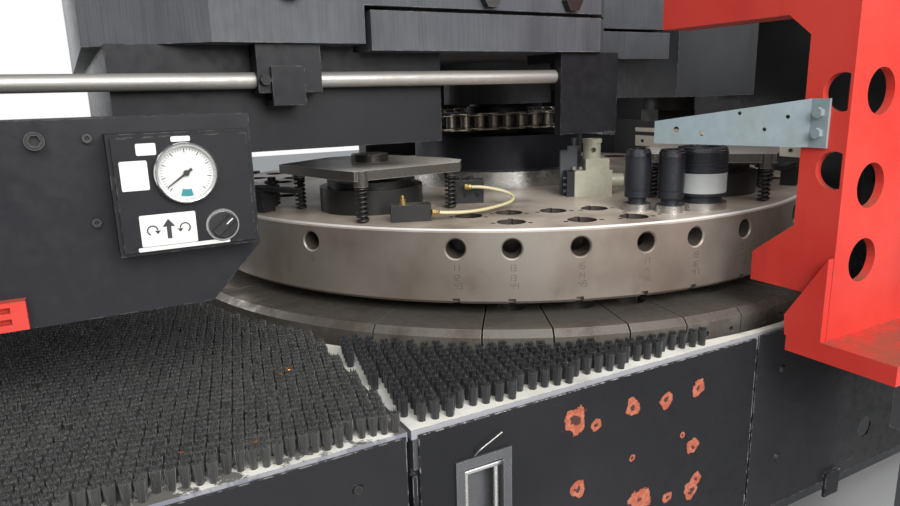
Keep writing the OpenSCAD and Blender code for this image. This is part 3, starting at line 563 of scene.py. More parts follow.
@dataclass(frozen=True)
class Galvanised(Finish):
    """Zinc coated or cast sheet with a faint spangle and oily stains."""

    colour: Colour
    dull: Colour
    stain: Colour = (0.30, 0.33, 0.24)
    roughness: float = 0.42
    metallic: float = 0.2

    def weave(self, web: NodeWeb) -> None:
        """Builds the zinc coat.

        Args:
            web: the node tree.
        """
        cells = web.node("TexVoronoi", Vector=web.place, Scale=70.0).outputs[0]
        spangle = web.plus(web.times(cells, 0.35), web.noise(30.0, 4.0))
        colour = web.blend(web.step(spangle, 0.45, 0.95, 0.0, 0.55), self.colour, self.dull)
        smear = web.step(web.noise(13.0, 5.0, 0.7, web.stretch((1.0, 1.0, 0.5))), 0.50, 0.68)
        colour = web.blend(web.times(smear, 0.45), colour, self.stain)
        edge = web.times(web.edges(0.0014), 0.45)
        colour = web.blend(edge, colour, tinted(self.colour, 1.25, 0.05, 0.9))
        web.set("Base Color", self.parts(web, colour))
        web.set("Metallic", self.metallic)
        web.set("Roughness", web.step(spangle, 0.4, 1.0, self.roughness, self.roughness + 0.2))
        web.relief(web.noise(120.0, 3.0), 0.10, 0.0003)

    def parts(self, web: NodeWeb, colour: Socket) -> Socket:
        """The colour, with other colours for some parts. A plain sheet has none."""
        return colour


@dataclass(frozen=True)
class ValveCasting(Galvanised):
    """The valve block: its end face is painted near black as painted shade, and its back plate
    grey.
    """

    corner: Flat = (-0.077, -0.395)
    turn: float = -28.0
    # end_plate: the near black of the end face, painted shade
    end_plate: Colour = (0.016, 0.016, 0.017)
    back_plate: Colour = (0.105, 0.115, 0.125)

    def parts(self, web: NodeWeb, colour: Socket) -> Socket:
        """Colours the painted shade on the end face, and the back plate.

        Args:
            web: the node tree.
            colour: the casting's colour.

        Returns:
            The colour with the end shade and the back plate.
        """
        x, y, _ = web.axes()
        c, s = math.cos(math.radians(self.turn)), math.sin(math.radians(self.turn))
        east, north = web.minus(x, self.corner[0]), web.minus(y, self.corner[1])
        along = web.plus(web.times(east, c), web.times(north, s))
        back = web.minus(web.times(north, c), web.times(east, s))
        behind = web.times(web.step(back, 0.0392, 0.0396), web.step(along, 0.0185, 0.0175))
        # Painted shade: the end face past the corner is painted near black.
        colour = web.blend(web.step(along, -0.0004, -0.0008), colour, self.end_plate)
        return web.blend(behind, colour, self.back_plate)


class Finishes:
    """Every finish of the press."""

    frame = Paint("frame_grey", (0.060, 0.062, 0.066), (0.080, 0.082, 0.086), roughness=0.5,
                  dustiness=0.5)
    slab = FlameCut("slab_grey", (0.072, 0.075, 0.084), (0.112, 0.115, 0.122),
                    chip=(0.26, 0.22, 0.18), dust=(0.22, 0.21, 0.19), roughness=0.5, grime=0.5)
    arm = Paint("arm_black", (0.0150, 0.0150, 0.0175), (0.0215, 0.0215, 0.0245),
                chip=(0.10, 0.095, 0.09), dust=(0.10, 0.097, 0.093), roughness=0.40)
    # Black paint; on carriage_beam it is painted shade.
    black = Paint("black_paint_and_shade", (0.0165, 0.0165, 0.0175), (0.026, 0.026, 0.027),
                  chip=(0.10, 0.095, 0.09), dust=(0.12, 0.115, 0.11), roughness=0.42)
    box = Paint("box_black", (0.0085, 0.0085, 0.0100), (0.0140, 0.0140, 0.0160),
                chip=(0.10, 0.095, 0.09), dust=(0.10, 0.097, 0.093), roughness=0.50)
    apron = Paint("apron_black", (0.014, 0.0142, 0.0165), (0.022, 0.022, 0.025),
                  chip=(0.34, 0.33, 0.31), dust=(0.14, 0.135, 0.13), roughness=0.40,
                  chipping=0.8)
    door = PeeledPaint("door_black", (0.0085, 0.0088, 0.0105), (0.0145, 0.0145, 0.0165),
                       chip=(0.62, 0.60, 0.56), dust=(0.14, 0.135, 0.13), roughness=0.40,
                       chipping=0.9, spots=(
                           (-0.391, 0.839, 0.021), (-0.354, 0.823, 0.009), (-0.289, 0.832, 0.014),
                           (-0.225, 0.827, 0.013), (-0.158, 0.831, 0.013), (-0.186, 0.761, 0.005),
                           (-0.163, 0.735, 0.013), (-0.286, 0.753, 0.005), (-0.385, 0.734, 0.013),
                           (-0.268, 0.679, 0.021), (-0.212, 0.665, 0.010), (-0.159, 0.661, 0.017),
                           (-0.150, 0.675, 0.014)))
    red = Paint("carriage_red", (0.56, 0.036, 0.027), (0.63, 0.058, 0.042),
                chip=(0.20, 0.10, 0.08), dust=(0.20, 0.085, 0.05), dustiness=0.75,
                roughness=0.36, grime=0.22)
    cream = TableEnamel("table_cream", (0.84, 0.83, 0.76), (0.76, 0.74, 0.65),
                        chip=(0.20, 0.17, 0.14), dust=(0.46, 0.43, 0.37), roughness=0.55,
                        chipping=1.2, grime=0.5)
    motor = Paint("motor_blue", (0.020, 0.045, 0.085), (0.03, 0.06, 0.10))
    # The disc's lighter top colour is painted light on its upward faces.
    turret = DiscSteel("turret_steel", (0.34, 0.300, 0.255), (0.175, 0.128, 0.100),
                       roughness=0.40, staining=0.80, metallic=0.60, cloud=5.0,
                       top=(0.66, 0.57, 0.47))
    dies = Steel("die_turret_steel", (0.20, 0.17, 0.135), (0.085, 0.062, 0.043),
                 roughness=0.42, staining=0.8, grain=Grain.FLAT, metallic=0.5)
    holder = Steel("die_holder_steel", (0.235, 0.215, 0.19), (0.070, 0.053, 0.040),
                   roughness=0.34, staining=0.8, metallic=0.6, bright_edges=1.0, cloud=7.0)
    ground = Steel("ground_steel", (0.60, 0.585, 0.555), (0.34, 0.31, 0.27), roughness=0.27,
                   staining=0.35)
    flange = Steel("turned_flange", (0.56, 0.55, 0.53), (0.30, 0.28, 0.25), roughness=0.27,
                   turned=True, staining=0.35)
    # Press plates: the pale top is a painted highlight, and sides=0.92 darkens the sides as
    # painted shade.
    plate = Steel("press_plate_steel", (0.42, 0.40, 0.365), (0.25, 0.22, 0.18),
                  roughness=0.36, staining=0.4, metallic=0.45, bright_edges=0.8,
                  top=(0.93, 0.86, 0.78), sides=0.92)
    neck = Steel("hub_neck_steel", (0.030, 0.031, 0.038), (0.017, 0.017, 0.020),
                 roughness=0.36, metallic=0.6, turned=True)
    dark = Steel("blackened_steel", (0.050, 0.048, 0.046), (0.024, 0.023, 0.022),
                 roughness=0.42, metallic=0.6, bright_edges=0.5)
    chain = Steel("chain_steel", (0.30, 0.265, 0.215), (0.10, 0.082, 0.062), roughness=0.34,
                  staining=0.6)
    rail = Steel("rail_bar_steel", (0.52, 0.50, 0.47), (0.28, 0.255, 0.225), roughness=0.40,
                 staining=0.5, grain=Grain.ALONG_X, metallic=0.7)
    screw = Steel("screw_black_oxide", (0.055, 0.053, 0.052), (0.028, 0.026, 0.025),
                  roughness=0.36, metallic=0.75, bright_edges=0.7)
    bright_screw = Steel("screw_steel", (0.34, 0.33, 0.31), (0.12, 0.115, 0.10), roughness=0.34)
    head = Steel("tool_head_steel", (0.135, 0.137, 0.145), (0.07, 0.068, 0.066), roughness=0.30,
                 staining=0.4, bright_edges=0.9)
    tool = Moulded("tool_canister_black", (0.0150, 0.0165, 0.0210), (0.022, 0.0235, 0.028),
                   roughness=0.34, depth=0.0001)
    band = Moulded("blank_pale_band", (0.46, 0.475, 0.465), (0.38, 0.39, 0.375), roughness=0.4)
    fitting = Paint("fitting_black", (0.022, 0.022, 0.023), (0.035, 0.034, 0.033),
                    chip=(0.16, 0.15, 0.13), roughness=0.45)
    zinc = ValveCasting("cast_zinc", (0.50, 0.485, 0.38), (0.40, 0.39, 0.31),
                        stain=(0.27, 0.25, 0.16))
    sheet = Galvanised("galvanised_sheet", (0.30, 0.36, 0.385), (0.235, 0.29, 0.31),
                       stain=(0.22, 0.245, 0.18))
    tube = Moulded("nylon_tube", (0.66, 0.58, 0.33), (0.74, 0.66, 0.42), roughness=0.35)
    bristle = Moulded("bristle_black", (0.0100, 0.0105, 0.0115), (0.019, 0.0195, 0.021),
                      roughness=0.36, texture=900.0, depth=0.0008, sheen=0.25)
    worn_bristle = Moulded("worn_bristle", (0.021, 0.0200, 0.0185), (0.036, 0.0340, 0.0310),
                           roughness=0.44, texture=900.0, depth=0.0008, sheen=0.35)
    knob = Moulded("knob_black", (0.017, 0.017, 0.018), (0.026, 0.026, 0.027), roughness=0.33)
    label = Moulded("label_white", (0.70, 0.70, 0.68), (0.60, 0.59, 0.56), roughness=0.5)
    ink = Moulded("label_ink", (0.02, 0.02, 0.022), (0.03, 0.03, 0.032), roughness=0.5)
    dial = Moulded("dial_pale", (0.60, 0.60, 0.57), (0.66, 0.66, 0.63), roughness=0.55)
    teal = Moulded("dial_teal", (0.02, 0.20, 0.22), (0.03, 0.25, 0.27), roughness=0.5)
    brass = Steel("brass_fitting", (0.62, 0.44, 0.16), (0.34, 0.22, 0.09), roughness=0.30,
                  staining=0.4)
    chrome = Steel("bright_plate", (0.68, 0.68, 0.66), (0.42, 0.40, 0.37), roughness=0.24,
                   staining=0.25)
    dish = Steel("handle_dish_steel", (0.17, 0.172, 0.18), (0.10, 0.10, 0.105),
                 roughness=0.30, staining=0.4, metallic=0.7, bright_edges=1.0)
    stamp = Moulded("stamped_mark", (0.10, 0.078, 0.056), (0.16, 0.125, 0.09), roughness=0.6)
    way = Steel("carriage_way_steel", (0.62, 0.58, 0.48), (0.40, 0.33, 0.27), roughness=0.35,
                staining=0.5, metallic=0.3, bright_edges=0.8)
    copper = Steel("copper_fleck", (0.62, 0.25, 0.09), (0.34, 0.12, 0.05), roughness=0.35)


NODE_FINISHES: dict[str, Finish] = {node: finish for finish, nodes in (
    (Finishes.frame, "bridge_frame floor_pads ram_housing table_frame base_rails"),
    (Finishes.slab, "upper_slab bearings die_anvil index_brackets"),
    (Finishes.screw, "screws"), (Finishes.rail, "guard_rail"), (Finishes.arm, "control_arm"),
    (Finishes.box, "drive_housing front_hanger rail_bracket control_box"),
    (Finishes.red, "slot_block carriage_base"), (Finishes.label, "label_plates"),
    (Finishes.chrome, "pressure_gauge handle_bail"), (Finishes.ink, "gauge_needle"),
    (Finishes.knob, "selector_knob"), (Finishes.motor, "gearmotors"),
    (Finishes.chain, "drive_chains"), (Finishes.cream, "centre_table left_table"),
    (Finishes.dark, "ram upper_sprocket drive_sprockets ai_drum_left ai_drum_right"),
    (Finishes.dark, "ai_springs_left ai_springs_right"),
    (Finishes.ground, "index_pins tool_guides die_set carriage_rails jaw_front jaw_rear"),
    (Finishes.bristle, "brush_tufts"), (Finishes.apron, "aprons"),
    (Finishes.door, "access_door"), (Finishes.dish, "handle_dish"),
    (Finishes.turret, "upper_turret"), (Finishes.flange, "hub_flange"),
    (Finishes.neck, "hub_neck"), (Finishes.tool, "tool_one tool_two tool_three"),
    (Finishes.plate, "ai_plate_left ai_plate_right"), (Finishes.fitting, "turret_fittings"),
    (Finishes.zinc, "valve_block"), (Finishes.tube, "lube_tube"),
    (Finishes.dies, "lower_turret"), (Finishes.holder, "die_holders"),
    # carriage_beam (the beam and rear side frame) is painted black as painted shade where it lies
    # behind the turret.
    (Finishes.black, "carriage_beam sheet_carriage"), (Finishes.sheet, "sensor_bracket"),
) for node in nodes.split()}


def put_finish(obj: bpy.types.Object, finish: Finish) -> None:
    """Gives an object one material."""
    obj.data.materials.clear()
    obj.data.materials.append(finish.make())


def new_object(name: str, data: bpy.types.ID) -> bpy.types.Object:
    """Puts data in the scene.

    Args:
        name: the object's name.
        data: its mesh, lamp or camera.

    Returns:
        The object.
    """
    obj = bpy.data.objects.new(name, data)
    bpy.context.scene.collection.objects.link(obj)
    return obj


def round_edges(obj: bpy.types.Object, width: float, segments: int = 2) -> None:
    """Rounds the sharp edges of an object a little.

    Args:
        obj: the object.
        width: the width in metres.
        segments: the steps of the rounding.
    """
    bevel = obj.modifiers.new("soft_edges", "BEVEL")
    bevel.width = width
    bevel.segments = segments
    bevel.limit_method = "ANGLE"
    bevel.angle_limit = SHARP
    bevel.harden_normals = False


def place(at: Sequence[float], turn: float, axis: str = "Z") -> Matrix:
    """A place: a shift, then a turn in radians about one of its own axes."""
    return Matrix.Translation(at) @ Matrix.Rotation(turn, 4, axis)


def station(angle: float, radius: float, height: float) -> Matrix:
    """A place on the turret at an angle in degrees, its local X pointing outward."""
    a = math.radians(angle)
    return place((radius * math.cos(a), radius * math.sin(a), height), a)


def arc(radius: float, start: float, sweep: float, steps: int) -> list[Flat]:
    """Points on an arc from a start over a sweep, in degrees, with both of its ends."""
    turns = [math.radians(start + sweep * k / steps) for k in range(steps + 1)]
    return [(radius * math.cos(a), radius * math.sin(a)) for a in turns]


def barrel(radius: float, half: float, corner: Flat) -> list[Flat]:
    """The outline of a pin about its middle.

    Args:
        radius: its radius.
        half: half its length.
        corner: how far its corners are cut, outward and upward.

    Returns:
        The outline.
    """
    out, up = corner
    return [(CORE, -half), (radius - out, -half), (radius, up - half), (radius, half - up),
            (radius - out, half), (CORE, half)]


@dataclass
class MeshKit:
    """Gathers simple solids in one mesh and makes a piece of it."""

    name: str
    mesh: bmesh.types.BMesh = field(default_factory=bmesh.new)

    def ring(self, at: Matrix, points: Iterable[Point]) -> list[bmesh.types.BMVert]:
        """New vertices at points that are given in a place of their own."""
        return [self.mesh.verts.new(at @ Vector(point)) for point in points]

    def flat(self, at: Matrix, points: Iterable[Flat]) -> None:
        """A flat face from points in the place's XZ plane."""
        self.mesh.faces.new(self.ring(at, [(x, 0.0, z) for x, z in points]))

    def skin(self, rings: Sequence[list[bmesh.types.BMVert]], foot: bool = True) -> None:
        """Joins rings of equal length with faces and caps them.

        Args:
            rings: the rings, upward.
            foot: whether the first one gets a cap too.
        """
        for lower, upper in zip(rings, rings[1:]):
            for k in range(len(lower)):
                n = (k + 1) % len(lower)
                self.mesh.faces.new((lower[k], lower[n], upper[n], upper[k]))
        if foot:
            self.mesh.faces.new(list(reversed(rings[0])))
        self.mesh.faces.new(rings[-1])

    def block(self, at: Matrix, low: Point, high: Point) -> None:
        """A box between two corners.

        Args:
            at: its place.
            low: the lowest corner.
            high: the highest corner.
        """
        size = [h - l for l, h in zip(low, high)]
        mid = [(h + l) / 2 for l, h in zip(low, high)]
        made = bmesh.ops.create_cube(self.mesh, size=1.0)
        bmesh.ops.transform(self.mesh, verts=made["verts"],
                            matrix=at @ Matrix.Translation(mid) @ Matrix.Diagonal((*size, 1.0)))

    def turned(self, at: Matrix, outline: Sequence[Flat], sides: int = 48) -> None:
        """A turned body.

        Args:
            at: its place.
            outline: its (radius, height) points, from the axis out and back.
            sides: the number of steps round.
        """
        turns = [2 * math.pi * k / sides for k in range(sides)]
        self.skin([self.ring(at, [(radius * math.cos(a), radius * math.sin(a), height)
                                  for a in turns]) for radius, height in outline])

    def pipe(self, path: Sequence[Vector], radius: float, sides: int) -> None:
        """A round bar along a path.

        Args:
            path: the points.
            radius: the bar's radius.
            sides: the number of sides.
        """
        turns = [2 * math.pi * k / sides for k in range(sides)]
        rings = []
        side = Vector((0, 0, 1))
        for i, point in enumerate(path):
            along = (path[min(i + 1, len(path) - 1)] - path[max(i - 1, 0)]).normalized()
            if abs(along.dot(side)) > PARALLEL:
                side = Vector((1, 0, 0)) if abs(along.x) < 0.9 else Vector((0, 1, 0))
            across = along.cross(side).normalized()
            side = across.cross(along).normalized()
            rings.append([self.mesh.verts.new(
                point + radius * (across * math.cos(a) + side * math.sin(a))) for a in turns])
        self.skin(rings)

    def piece(self, body: Body, finish: Finish, stands_for: str | None = None,
              smooth: float = 35.0) -> bpy.types.Object:
        """Ends the mesh and makes it a piece of the machine.

        Args:
            body: the body it rides on.
            finish: its finish.
            stands_for: the CAD node that it replaces, if any.
            smooth: the sharpest smooth angle in degrees.

        Returns:
            The new object.
        """
        bmesh.ops.recalc_face_normals(self.mesh, faces=self.mesh.faces)
        data = bpy.data.meshes.new(self.name)
        self.mesh.to_mesh(data)
        self.mesh.free()
        data.shade_smooth()
        data.set_sharp_from_angle(angle=math.radians(smooth))
        obj = new_object(self.name, data)
        put_finish(obj, finish)
        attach(obj, body.value)
        if stands_for:
            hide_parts(stands_for)
        LOG.info("%s: %d faces on %s", self.name, len(data.polygons), body.value)
        return obj


@dataclass
class Studio:
    """The camera at the photograph's view, the plain floor and the soft lights."""

    camera_at: Point = (-0.92922, -1.43585, 1.26759)
    pitch: float = 13.238
    roll: float = -1.476
    yaw: float = 28.697
    lens: float = 27.157
    floor_size: float = 14.0
    floor_colour: Colour = (0.62, 0.62, 0.61)
    sky: Colour = (0.80, 0.83, 0.86)
    sky_power: float = 0.62

    def build(self) -> None:
        """Builds camera, floor, world and lamps."""
        self.camera()
        self.floor()
        self.world()
        self.lamps()
        bpy.context.scene.view_settings.view_transform = "Standard"

    def camera(self) -> None:
        """Places the camera."""
        data = bpy.data.cameras.new("view")
        data.sensor_width = 36.0
        data.lens = self.lens
        data.clip_start, data.clip_end = 0.02, 100.0
        cam = new_object("view", data)
        yaw, pitch, roll = (math.radians(v) for v in (self.yaw, self.pitch, self.roll))
        ahead = Vector((math.sin(yaw) * math.cos(pitch), math.cos(yaw) * math.cos(pitch),
                        -math.sin(pitch)))
        level = Vector((math.cos(yaw), -math.sin(yaw), 0.0))
        upright = level.cross(ahead)
        right = level * math.cos(roll) + upright * math.sin(roll)
        up = upright * math.cos(roll) - level * math.sin(roll)
        turn = Matrix((right, up, -ahead)).transposed().to_4x4()
        cam.matrix_world = Matrix.Translation(self.camera_at) @ turn
        bpy.context.scene.camera = cam

    def floor(self) -> None:
        """Lays the pale flat floor."""
        data = bpy.data.meshes.new("floor")
        size = self.floor_size
        data.from_pydata([(-size, -size, 0), (size, -size, 0), (size, size, 0),
                          (-size, size, 0)], [], [(0, 1, 2, 3)])
        floor = new_object("floor", data)
        web = NodeWeb("studio_floor")
        web.set("Base Color", self.floor_colour)
        web.set("Roughness", 0.8)
        data.materials.append(web.material)

    def world(self) -> None:
        """Sets the sky that lights the scene, and a white one for the camera alone."""
        world = bpy.data.worlds.new("studio")
        bpy.context.scene.world = world
        world.use_nodes = True
        tree = world.node_tree
        sky = tree.nodes["Background"]
        sky.inputs[0].default_value = (*self.sky, 1.0)
        sky.inputs[1].default_value = self.sky_power
        rays = tree.nodes.new("ShaderNodeLightPath")
        plain = tree.nodes.new("ShaderNodeBackground")
        plain.inputs[0].default_value = (1.0, 1.0, 1.0, 1.0)
        mix = tree.nodes.new("ShaderNodeMixShader")
        for i, socket in enumerate((rays.outputs["Is Camera Ray"], sky.outputs[0],
                                    plain.outputs[0])):
            tree.links.new(socket, mix.inputs[i])
        tree.links.new(mix.outputs[0], tree.nodes["World Output"].inputs[0])

    def lamps(self) -> None:
        """Hangs the four soft lamps: name, place, aim, size and power."""
        for name, at, aim, size, power in (
                ("key", (-1.6, -3.7, 3.4), (0.0, -0.4, 1.0), 2.2, 110.0),
                ("fill", (2.2, -4.2, 2.6), (0.2, -0.5, 1.0), 2.4, 30.0),
                ("window", (-3.2, 2.6, 2.4), (-0.3, 0.0, 1.1), 2.4, 120.0),
                ("throat", (-0.3, -2.5, 2.0), (0.0, -0.3, 1.05), 1.0, 30.0)):
            lamp = bpy.data.lights.new(name, "AREA")
            lamp.size = size
            lamp.energy = power
            obj = new_object(name, lamp)
            obj.location = at
            obj.rotation_mode = "QUATERNION"
            obj.rotation_quaternion = (Vector(aim) - Vector(at)).to_track_quat("-Z", "Y")


@dataclass
class SolidParts:
    """The CAD solids that show as they are, with soft edges and their finish."""

    edge: float = 0.0012
    sharp: tuple[str, ...] = ("brush_tufts", "ai_springs_left", "ai_springs_right",
                              "drive_chains", "lube_tube", "label_plates", "die_holders",
                              "upper_turret", "lower_turret", "gauge_needle", "floor_pads")

    def build(self) -> None:
        """Gives each solid its finish and rounds its edges."""
        for name, obj in FRAME["nodes"].items():
            put_finish(obj, NODE_FINISHES[name])
            if name not in self.sharp:
                round_edges(obj, self.edge)
            LOG.info("%s: %s", name, NODE_FINISHES[name].name)


@dataclass(frozen=True)
class Tuft:
    """One kind of tuft: how wide it stands and how far its tips spread."""

    pitch: float
    root: float
    crown: float
    blades: int
    ragged: float
    finish: Finish


@dataclass
class BristleTable:
    """Nylon tufts standing on a turned square grid on the cream plates."""

    turn: float = math.radians(-11.7)
    start: Flat = (-0.583, -0.7358)
    height: float = 0.030
    clear: float = 0.783
    half: float = 0.785
    span: float = 2.6
    gaps: float = 0.008
    shapes: int = 10
    core: int = 7
    spin: float = 2.4
    blade: float = 0.0011
    splay: float = 0.0006
    lean: float = 0.014
    jitter: float = 0.0003
    neat: Tuft = Tuft(0.0177, 0.0052, 0.0071, 40, 0.07, Finishes.bristle)
    worn: Tuft = Tuft(0.0132, 0.0040, 0.0066, 24, 0.20, Finishes.worn_bristle)

    def build(self) -> None:
        """Stands the tufts of both tables, in pieces by region."""
        drawn = {kind: [self.shape(kind) for _ in range(self.shapes)]
                 for kind in (self.neat, self.worn)}
        for table, kind, regions in (
                ("centre", self.neat, (("front", None, -0.30), ("rear", 0.30, None))),
                ("left", self.worn, (("front", None, -0.40), ("middle", -0.40, 0.0),
                                     ("inner", 0.0, 0.40), ("rear", 0.40, None)))):
            low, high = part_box(f"{table}_table")
            for region, y0, y1 in regions:
                area = (low.x, high.x, low.y if y0 is None else y0, high.y if y1 is None else y1)
                self.stand(f"tufts_{table}_{region}", kind, drawn[kind], area)

    def shape(self, kind: Tuft) -> tuple[np.ndarray, np.ndarray]:
        """One tuft: a bundle of bristles round a dense core.

        Args:
            kind: its kind.

        Returns:
            Its corners and its triangles.
        """
        core = self.core
        verts: list[Sequence[float]] = [
            (*flat, z) for z, r in ((0.0, kind.root), (0.78 * self.height, kind.crown * 0.92))
            for flat in arc(r, 0, 360, core)[:-1]]
        faces: list[tuple[int, int, int]] = []
        for k in range(core):
            n = (k + 1) % core
            faces += [(k, n, core + n), (k, core + n, core + k)]
        faces += [(core, core + k + 1, core + k + 2) for k in range(core - 2)]
        for i in range(kind.blades):
            a = self.spin * i
            out = math.sqrt((i + 0.6) / kind.blades)
            outer = out > 0.8
            side = Vector((-math.sin(a), math.cos(a), 0)) * self.blade
            foot = Vector((math.cos(a), math.sin(a), 0)) * kind.crown * 0.86 * out
            astray = Vector((random.gauss(0, 1), random.gauss(0, 1), 0))
            tip = foot * 1.14 + astray * self.splay
            tip.z = self.height * random.uniform(1.0 - kind.ragged, 1.0)
            foot.z = self.height * (0.25 if outer else 0.70)
            inner = foot * (0.55 if outer else 0.3)
            first = len(verts)
            verts += [tuple(point) for point in
                      (foot - side, foot + side, Vector((inner.x, inner.y, foot.z)), tip)]
            faces += [(first, first + 1, first + 3), (first + 1, first + 2, first + 3),
                      (first + 2, first, first + 3)]
        return np.array(verts), np.array(faces)

    def spots(self, kind: Tuft, area: tuple[float, float, float, float]) -> list[Flat]:
        """Where tufts stand in an area.

        Args:
            kind: their kind, which keeps them off the edges.
            area: the lowest and highest x, then the lowest and highest y.

        Returns:
            The places.
        """
        x0, x1, y0, y1 = area
        edge = kind.crown + 0.0015
        c, s = math.cos(self.turn), math.sin(self.turn)
        reach = math.ceil(self.span / kind.pitch)
        found = []
        for j in range(-reach, reach + 1):
            for i in range(-reach, reach + 1):
                x = self.start[0] + kind.pitch * (i * c - j * s)
                y = self.start[1] + kind.pitch * (i * s + j * c)
                inside = (x0 + edge < x < x1 - edge and y0 <= y < y1
                          and abs(y) < self.half - edge)
                if inside and math.hypot(x, y) > self.clear and random.random() > self.gaps:
                    found.append((x, y))
        return found

    def stand(self, name: str, kind: Tuft, shapes: list[tuple[np.ndarray, np.ndarray]],
              area: tuple[float, float, float, float]) -> None:
        """Fills one area with tufts.

        Args:
            name: the piece's name.
            kind: the kind of tuft.
            shapes: the tufts to draw from.
            area: the lowest and highest x, then the lowest and highest y.
        """
        verts, faces, start = [], [], 0
        for x, y in self.spots(kind, area):
            points, triangles = random.choice(shapes)
            turn = random.uniform(0, 2 * math.pi)
            lean = np.array((random.gauss(0, self.lean), random.gauss(0, self.lean)))
            c, s = math.cos(turn), math.sin(turn)
            placed = points @ np.array(((c, s, 0), (-s, c, 0), (0, 0, 1)))
            placed[:, :2] += placed[:, 2:] * lean
            placed += (x + random.gauss(0, self.jitter), y + random.gauss(0, self.jitter),
                       PLATE_TOP)
            verts.append(placed)
            faces.append(triangles + start)
            start += len(points)
        data = bpy.data.meshes.new(name)
        data.from_pydata(np.concatenate(verts).tolist(), [], np.concatenate(faces).tolist())
        obj = new_object(name, data)
        put_finish(obj, kind.finish)
        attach(obj, Body.FRAME.value)
        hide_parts("brush_tufts")
        LOG.info("%s: %d tufts", name, len(verts))


@dataclass
class RollerChains:
    """The two drive chains: rollers, pins and waisted link plates."""

    pitch: float = 0.03175
    big: float = 0.22253
    small: float = 0.11155
    reach: float = 0.67256
    links: int = 76
    roller: tuple[float, float, Flat] = (0.0094, 0.0118, (0.0008, 0.0008))
    pin: tuple[float, float, Flat] = (0.0046, 0.0182, (0.0008, 0.0006))
    plate_end: float = 0.0132
    plate_waist: float = 0.0092
    layers: tuple[Flat, Flat] = ((0.0122, 0.0147), (0.0149, 0.0174))
    levels: Flat = (1.208, 0.755)
    edge: float = 0.0004

    def build(self) -> None:
        """Builds both loops."""
        for name, level in zip(("upper_chain", "lower_chain"), self.levels):
            kit = MeshKit(name)
            self.loop(kit, level)
            obj = kit.piece(Body.FRAME, Finishes.chain, "drive_chains")
            round_edges(obj, self.edge, 1)

    def centres(self) -> list[Flat]:
        """The roller centres in order round the loop.

        Returns:
            Their places in plan.
        """
        tilt = math.asin((self.big - self.small) / self.reach)
        span = math.sqrt(self.reach ** 2 - (self.big - self.small) ** 2)
        half = self.big * (math.pi + 2 * tilt) / 2
        end = math.pi / 2 + tilt
        found = []
        for k in range(self.links // 2):
            d = (k + 0.5) * self.pitch
            run = d - half
            if run < 0:
                a = d / self.big
                found.append((self.big * math.cos(a), self.big * math.sin(a)))
            elif run < span:
                found.append((self.big * math.cos(end) - run * math.cos(tilt),
                              self.big * math.sin(end) - run * math.sin(tilt)))
            else:
                a = end + (run - span) / self.small
                found.append((-self.reach + self.small * math.cos(a), self.small * math.sin(a)))
        return found + [(x, -y) for x, y in reversed(found)]

    def plate(self, kit: MeshKit, at: Matrix, length: float, low: float, high: float) -> None:
        """One waisted link plate, its first pin at the origin.

        Args:
            kit: the mesh it joins.
            at: its place.
            length: the distance between its pins.
            low: its underside.
            high: its top.
        """
        flat = arc(self.plate_end, 60, 240, 7) + [(length / 2, -self.plate_waist)]
        flat += [(length + x, y) for x, y in arc(self.plate_end, -120, 240, 7)]
        flat += [(length / 2, self.plate_waist)]
        kit.skin([kit.ring(at, [(x, y, z) for x, y in flat]) for z in (low, high)])

    def loop(self, kit: MeshKit, level: float) -> None:
        """One closed loop.

        Args:
            kit: the mesh.
            level: the height of its middle.
        """
        spots = self.centres()
        for k, (x, y) in enumerate(spots):
            nx, ny = spots[(k + 1) % len(spots)]
            at = place((x, y, level), math.atan2(ny - y, nx - x))
            kit.turned(at, barrel(*self.roller), 20)
            kit.turned(at, barrel(*self.pin), 12)
            length = math.hypot(nx - x, ny - y)
            low, high = self.layers[k % 2]
            self.plate(kit, at, length, low, high)
            self.plate(kit, at, length, -high, -low)


@dataclass
class ReturnSprings:
    """The coil springs under the press plates of the rotating stations."""

    centre_r: float = 0.518
    angles: Flat = (-150.0, -69.0)
    places: tuple[Flat, ...] = ((0.137, 0.085), (-0.048, 0.143), (-0.098, -0.072),
                                (0.072, -0.112))
    coil: float = 0.0088
    wire: float = 0.0021
    height: float = 0.0594
    turns: int = 8
    steps: int = 18
    dead: float = 0.09
    squeeze: float = 1.1
    gap: float = 0.0003
    stroke: float = 0.010

    def build(self) -> None:
        """Builds the springs of both stations."""
        foot = TURRET_TOP + self.gap
        for i, side in enumerate(("left", "right")):
            kit = MeshKit(f"coil_springs_{side}")
            frame = station(self.angles[i], self.centre_r, foot)
            for x, y in self.places:
                seat = frame @ Vector((x, -y if i else y, 0))
                kit.pipe([seat + point for point in self.helix()], self.wire, 8)
            obj = kit.piece(Body.TURRET, Finishes.dark, f"ai_springs_{side}",
                            60.0)
            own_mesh(obj)

    def helix(self) -> list[Vector]:
        """The wire's middle line, with its closed end turns.

        Returns:
            The points, upward from the seat.
        """
        points = []
        count = self.turns * self.steps
        for k in range(count + 1):
            a = 2 * math.pi * k / self.steps
            share = k / count
            lift = min(max((share - self.dead) / (1 - 2 * self.dead), 0.0), 1.0)
            low = self.wire * (1 + self.squeeze * min(share / self.dead, 1.0))
            high = self.height - self.wire * (1 + self.squeeze
                                              * min((1 - share) / self.dead, 1.0))
            points.append(Vector((self.coil * math.cos(a), self.coil * math.sin(a),
                                  low + (high - low) * lift)))
        return points


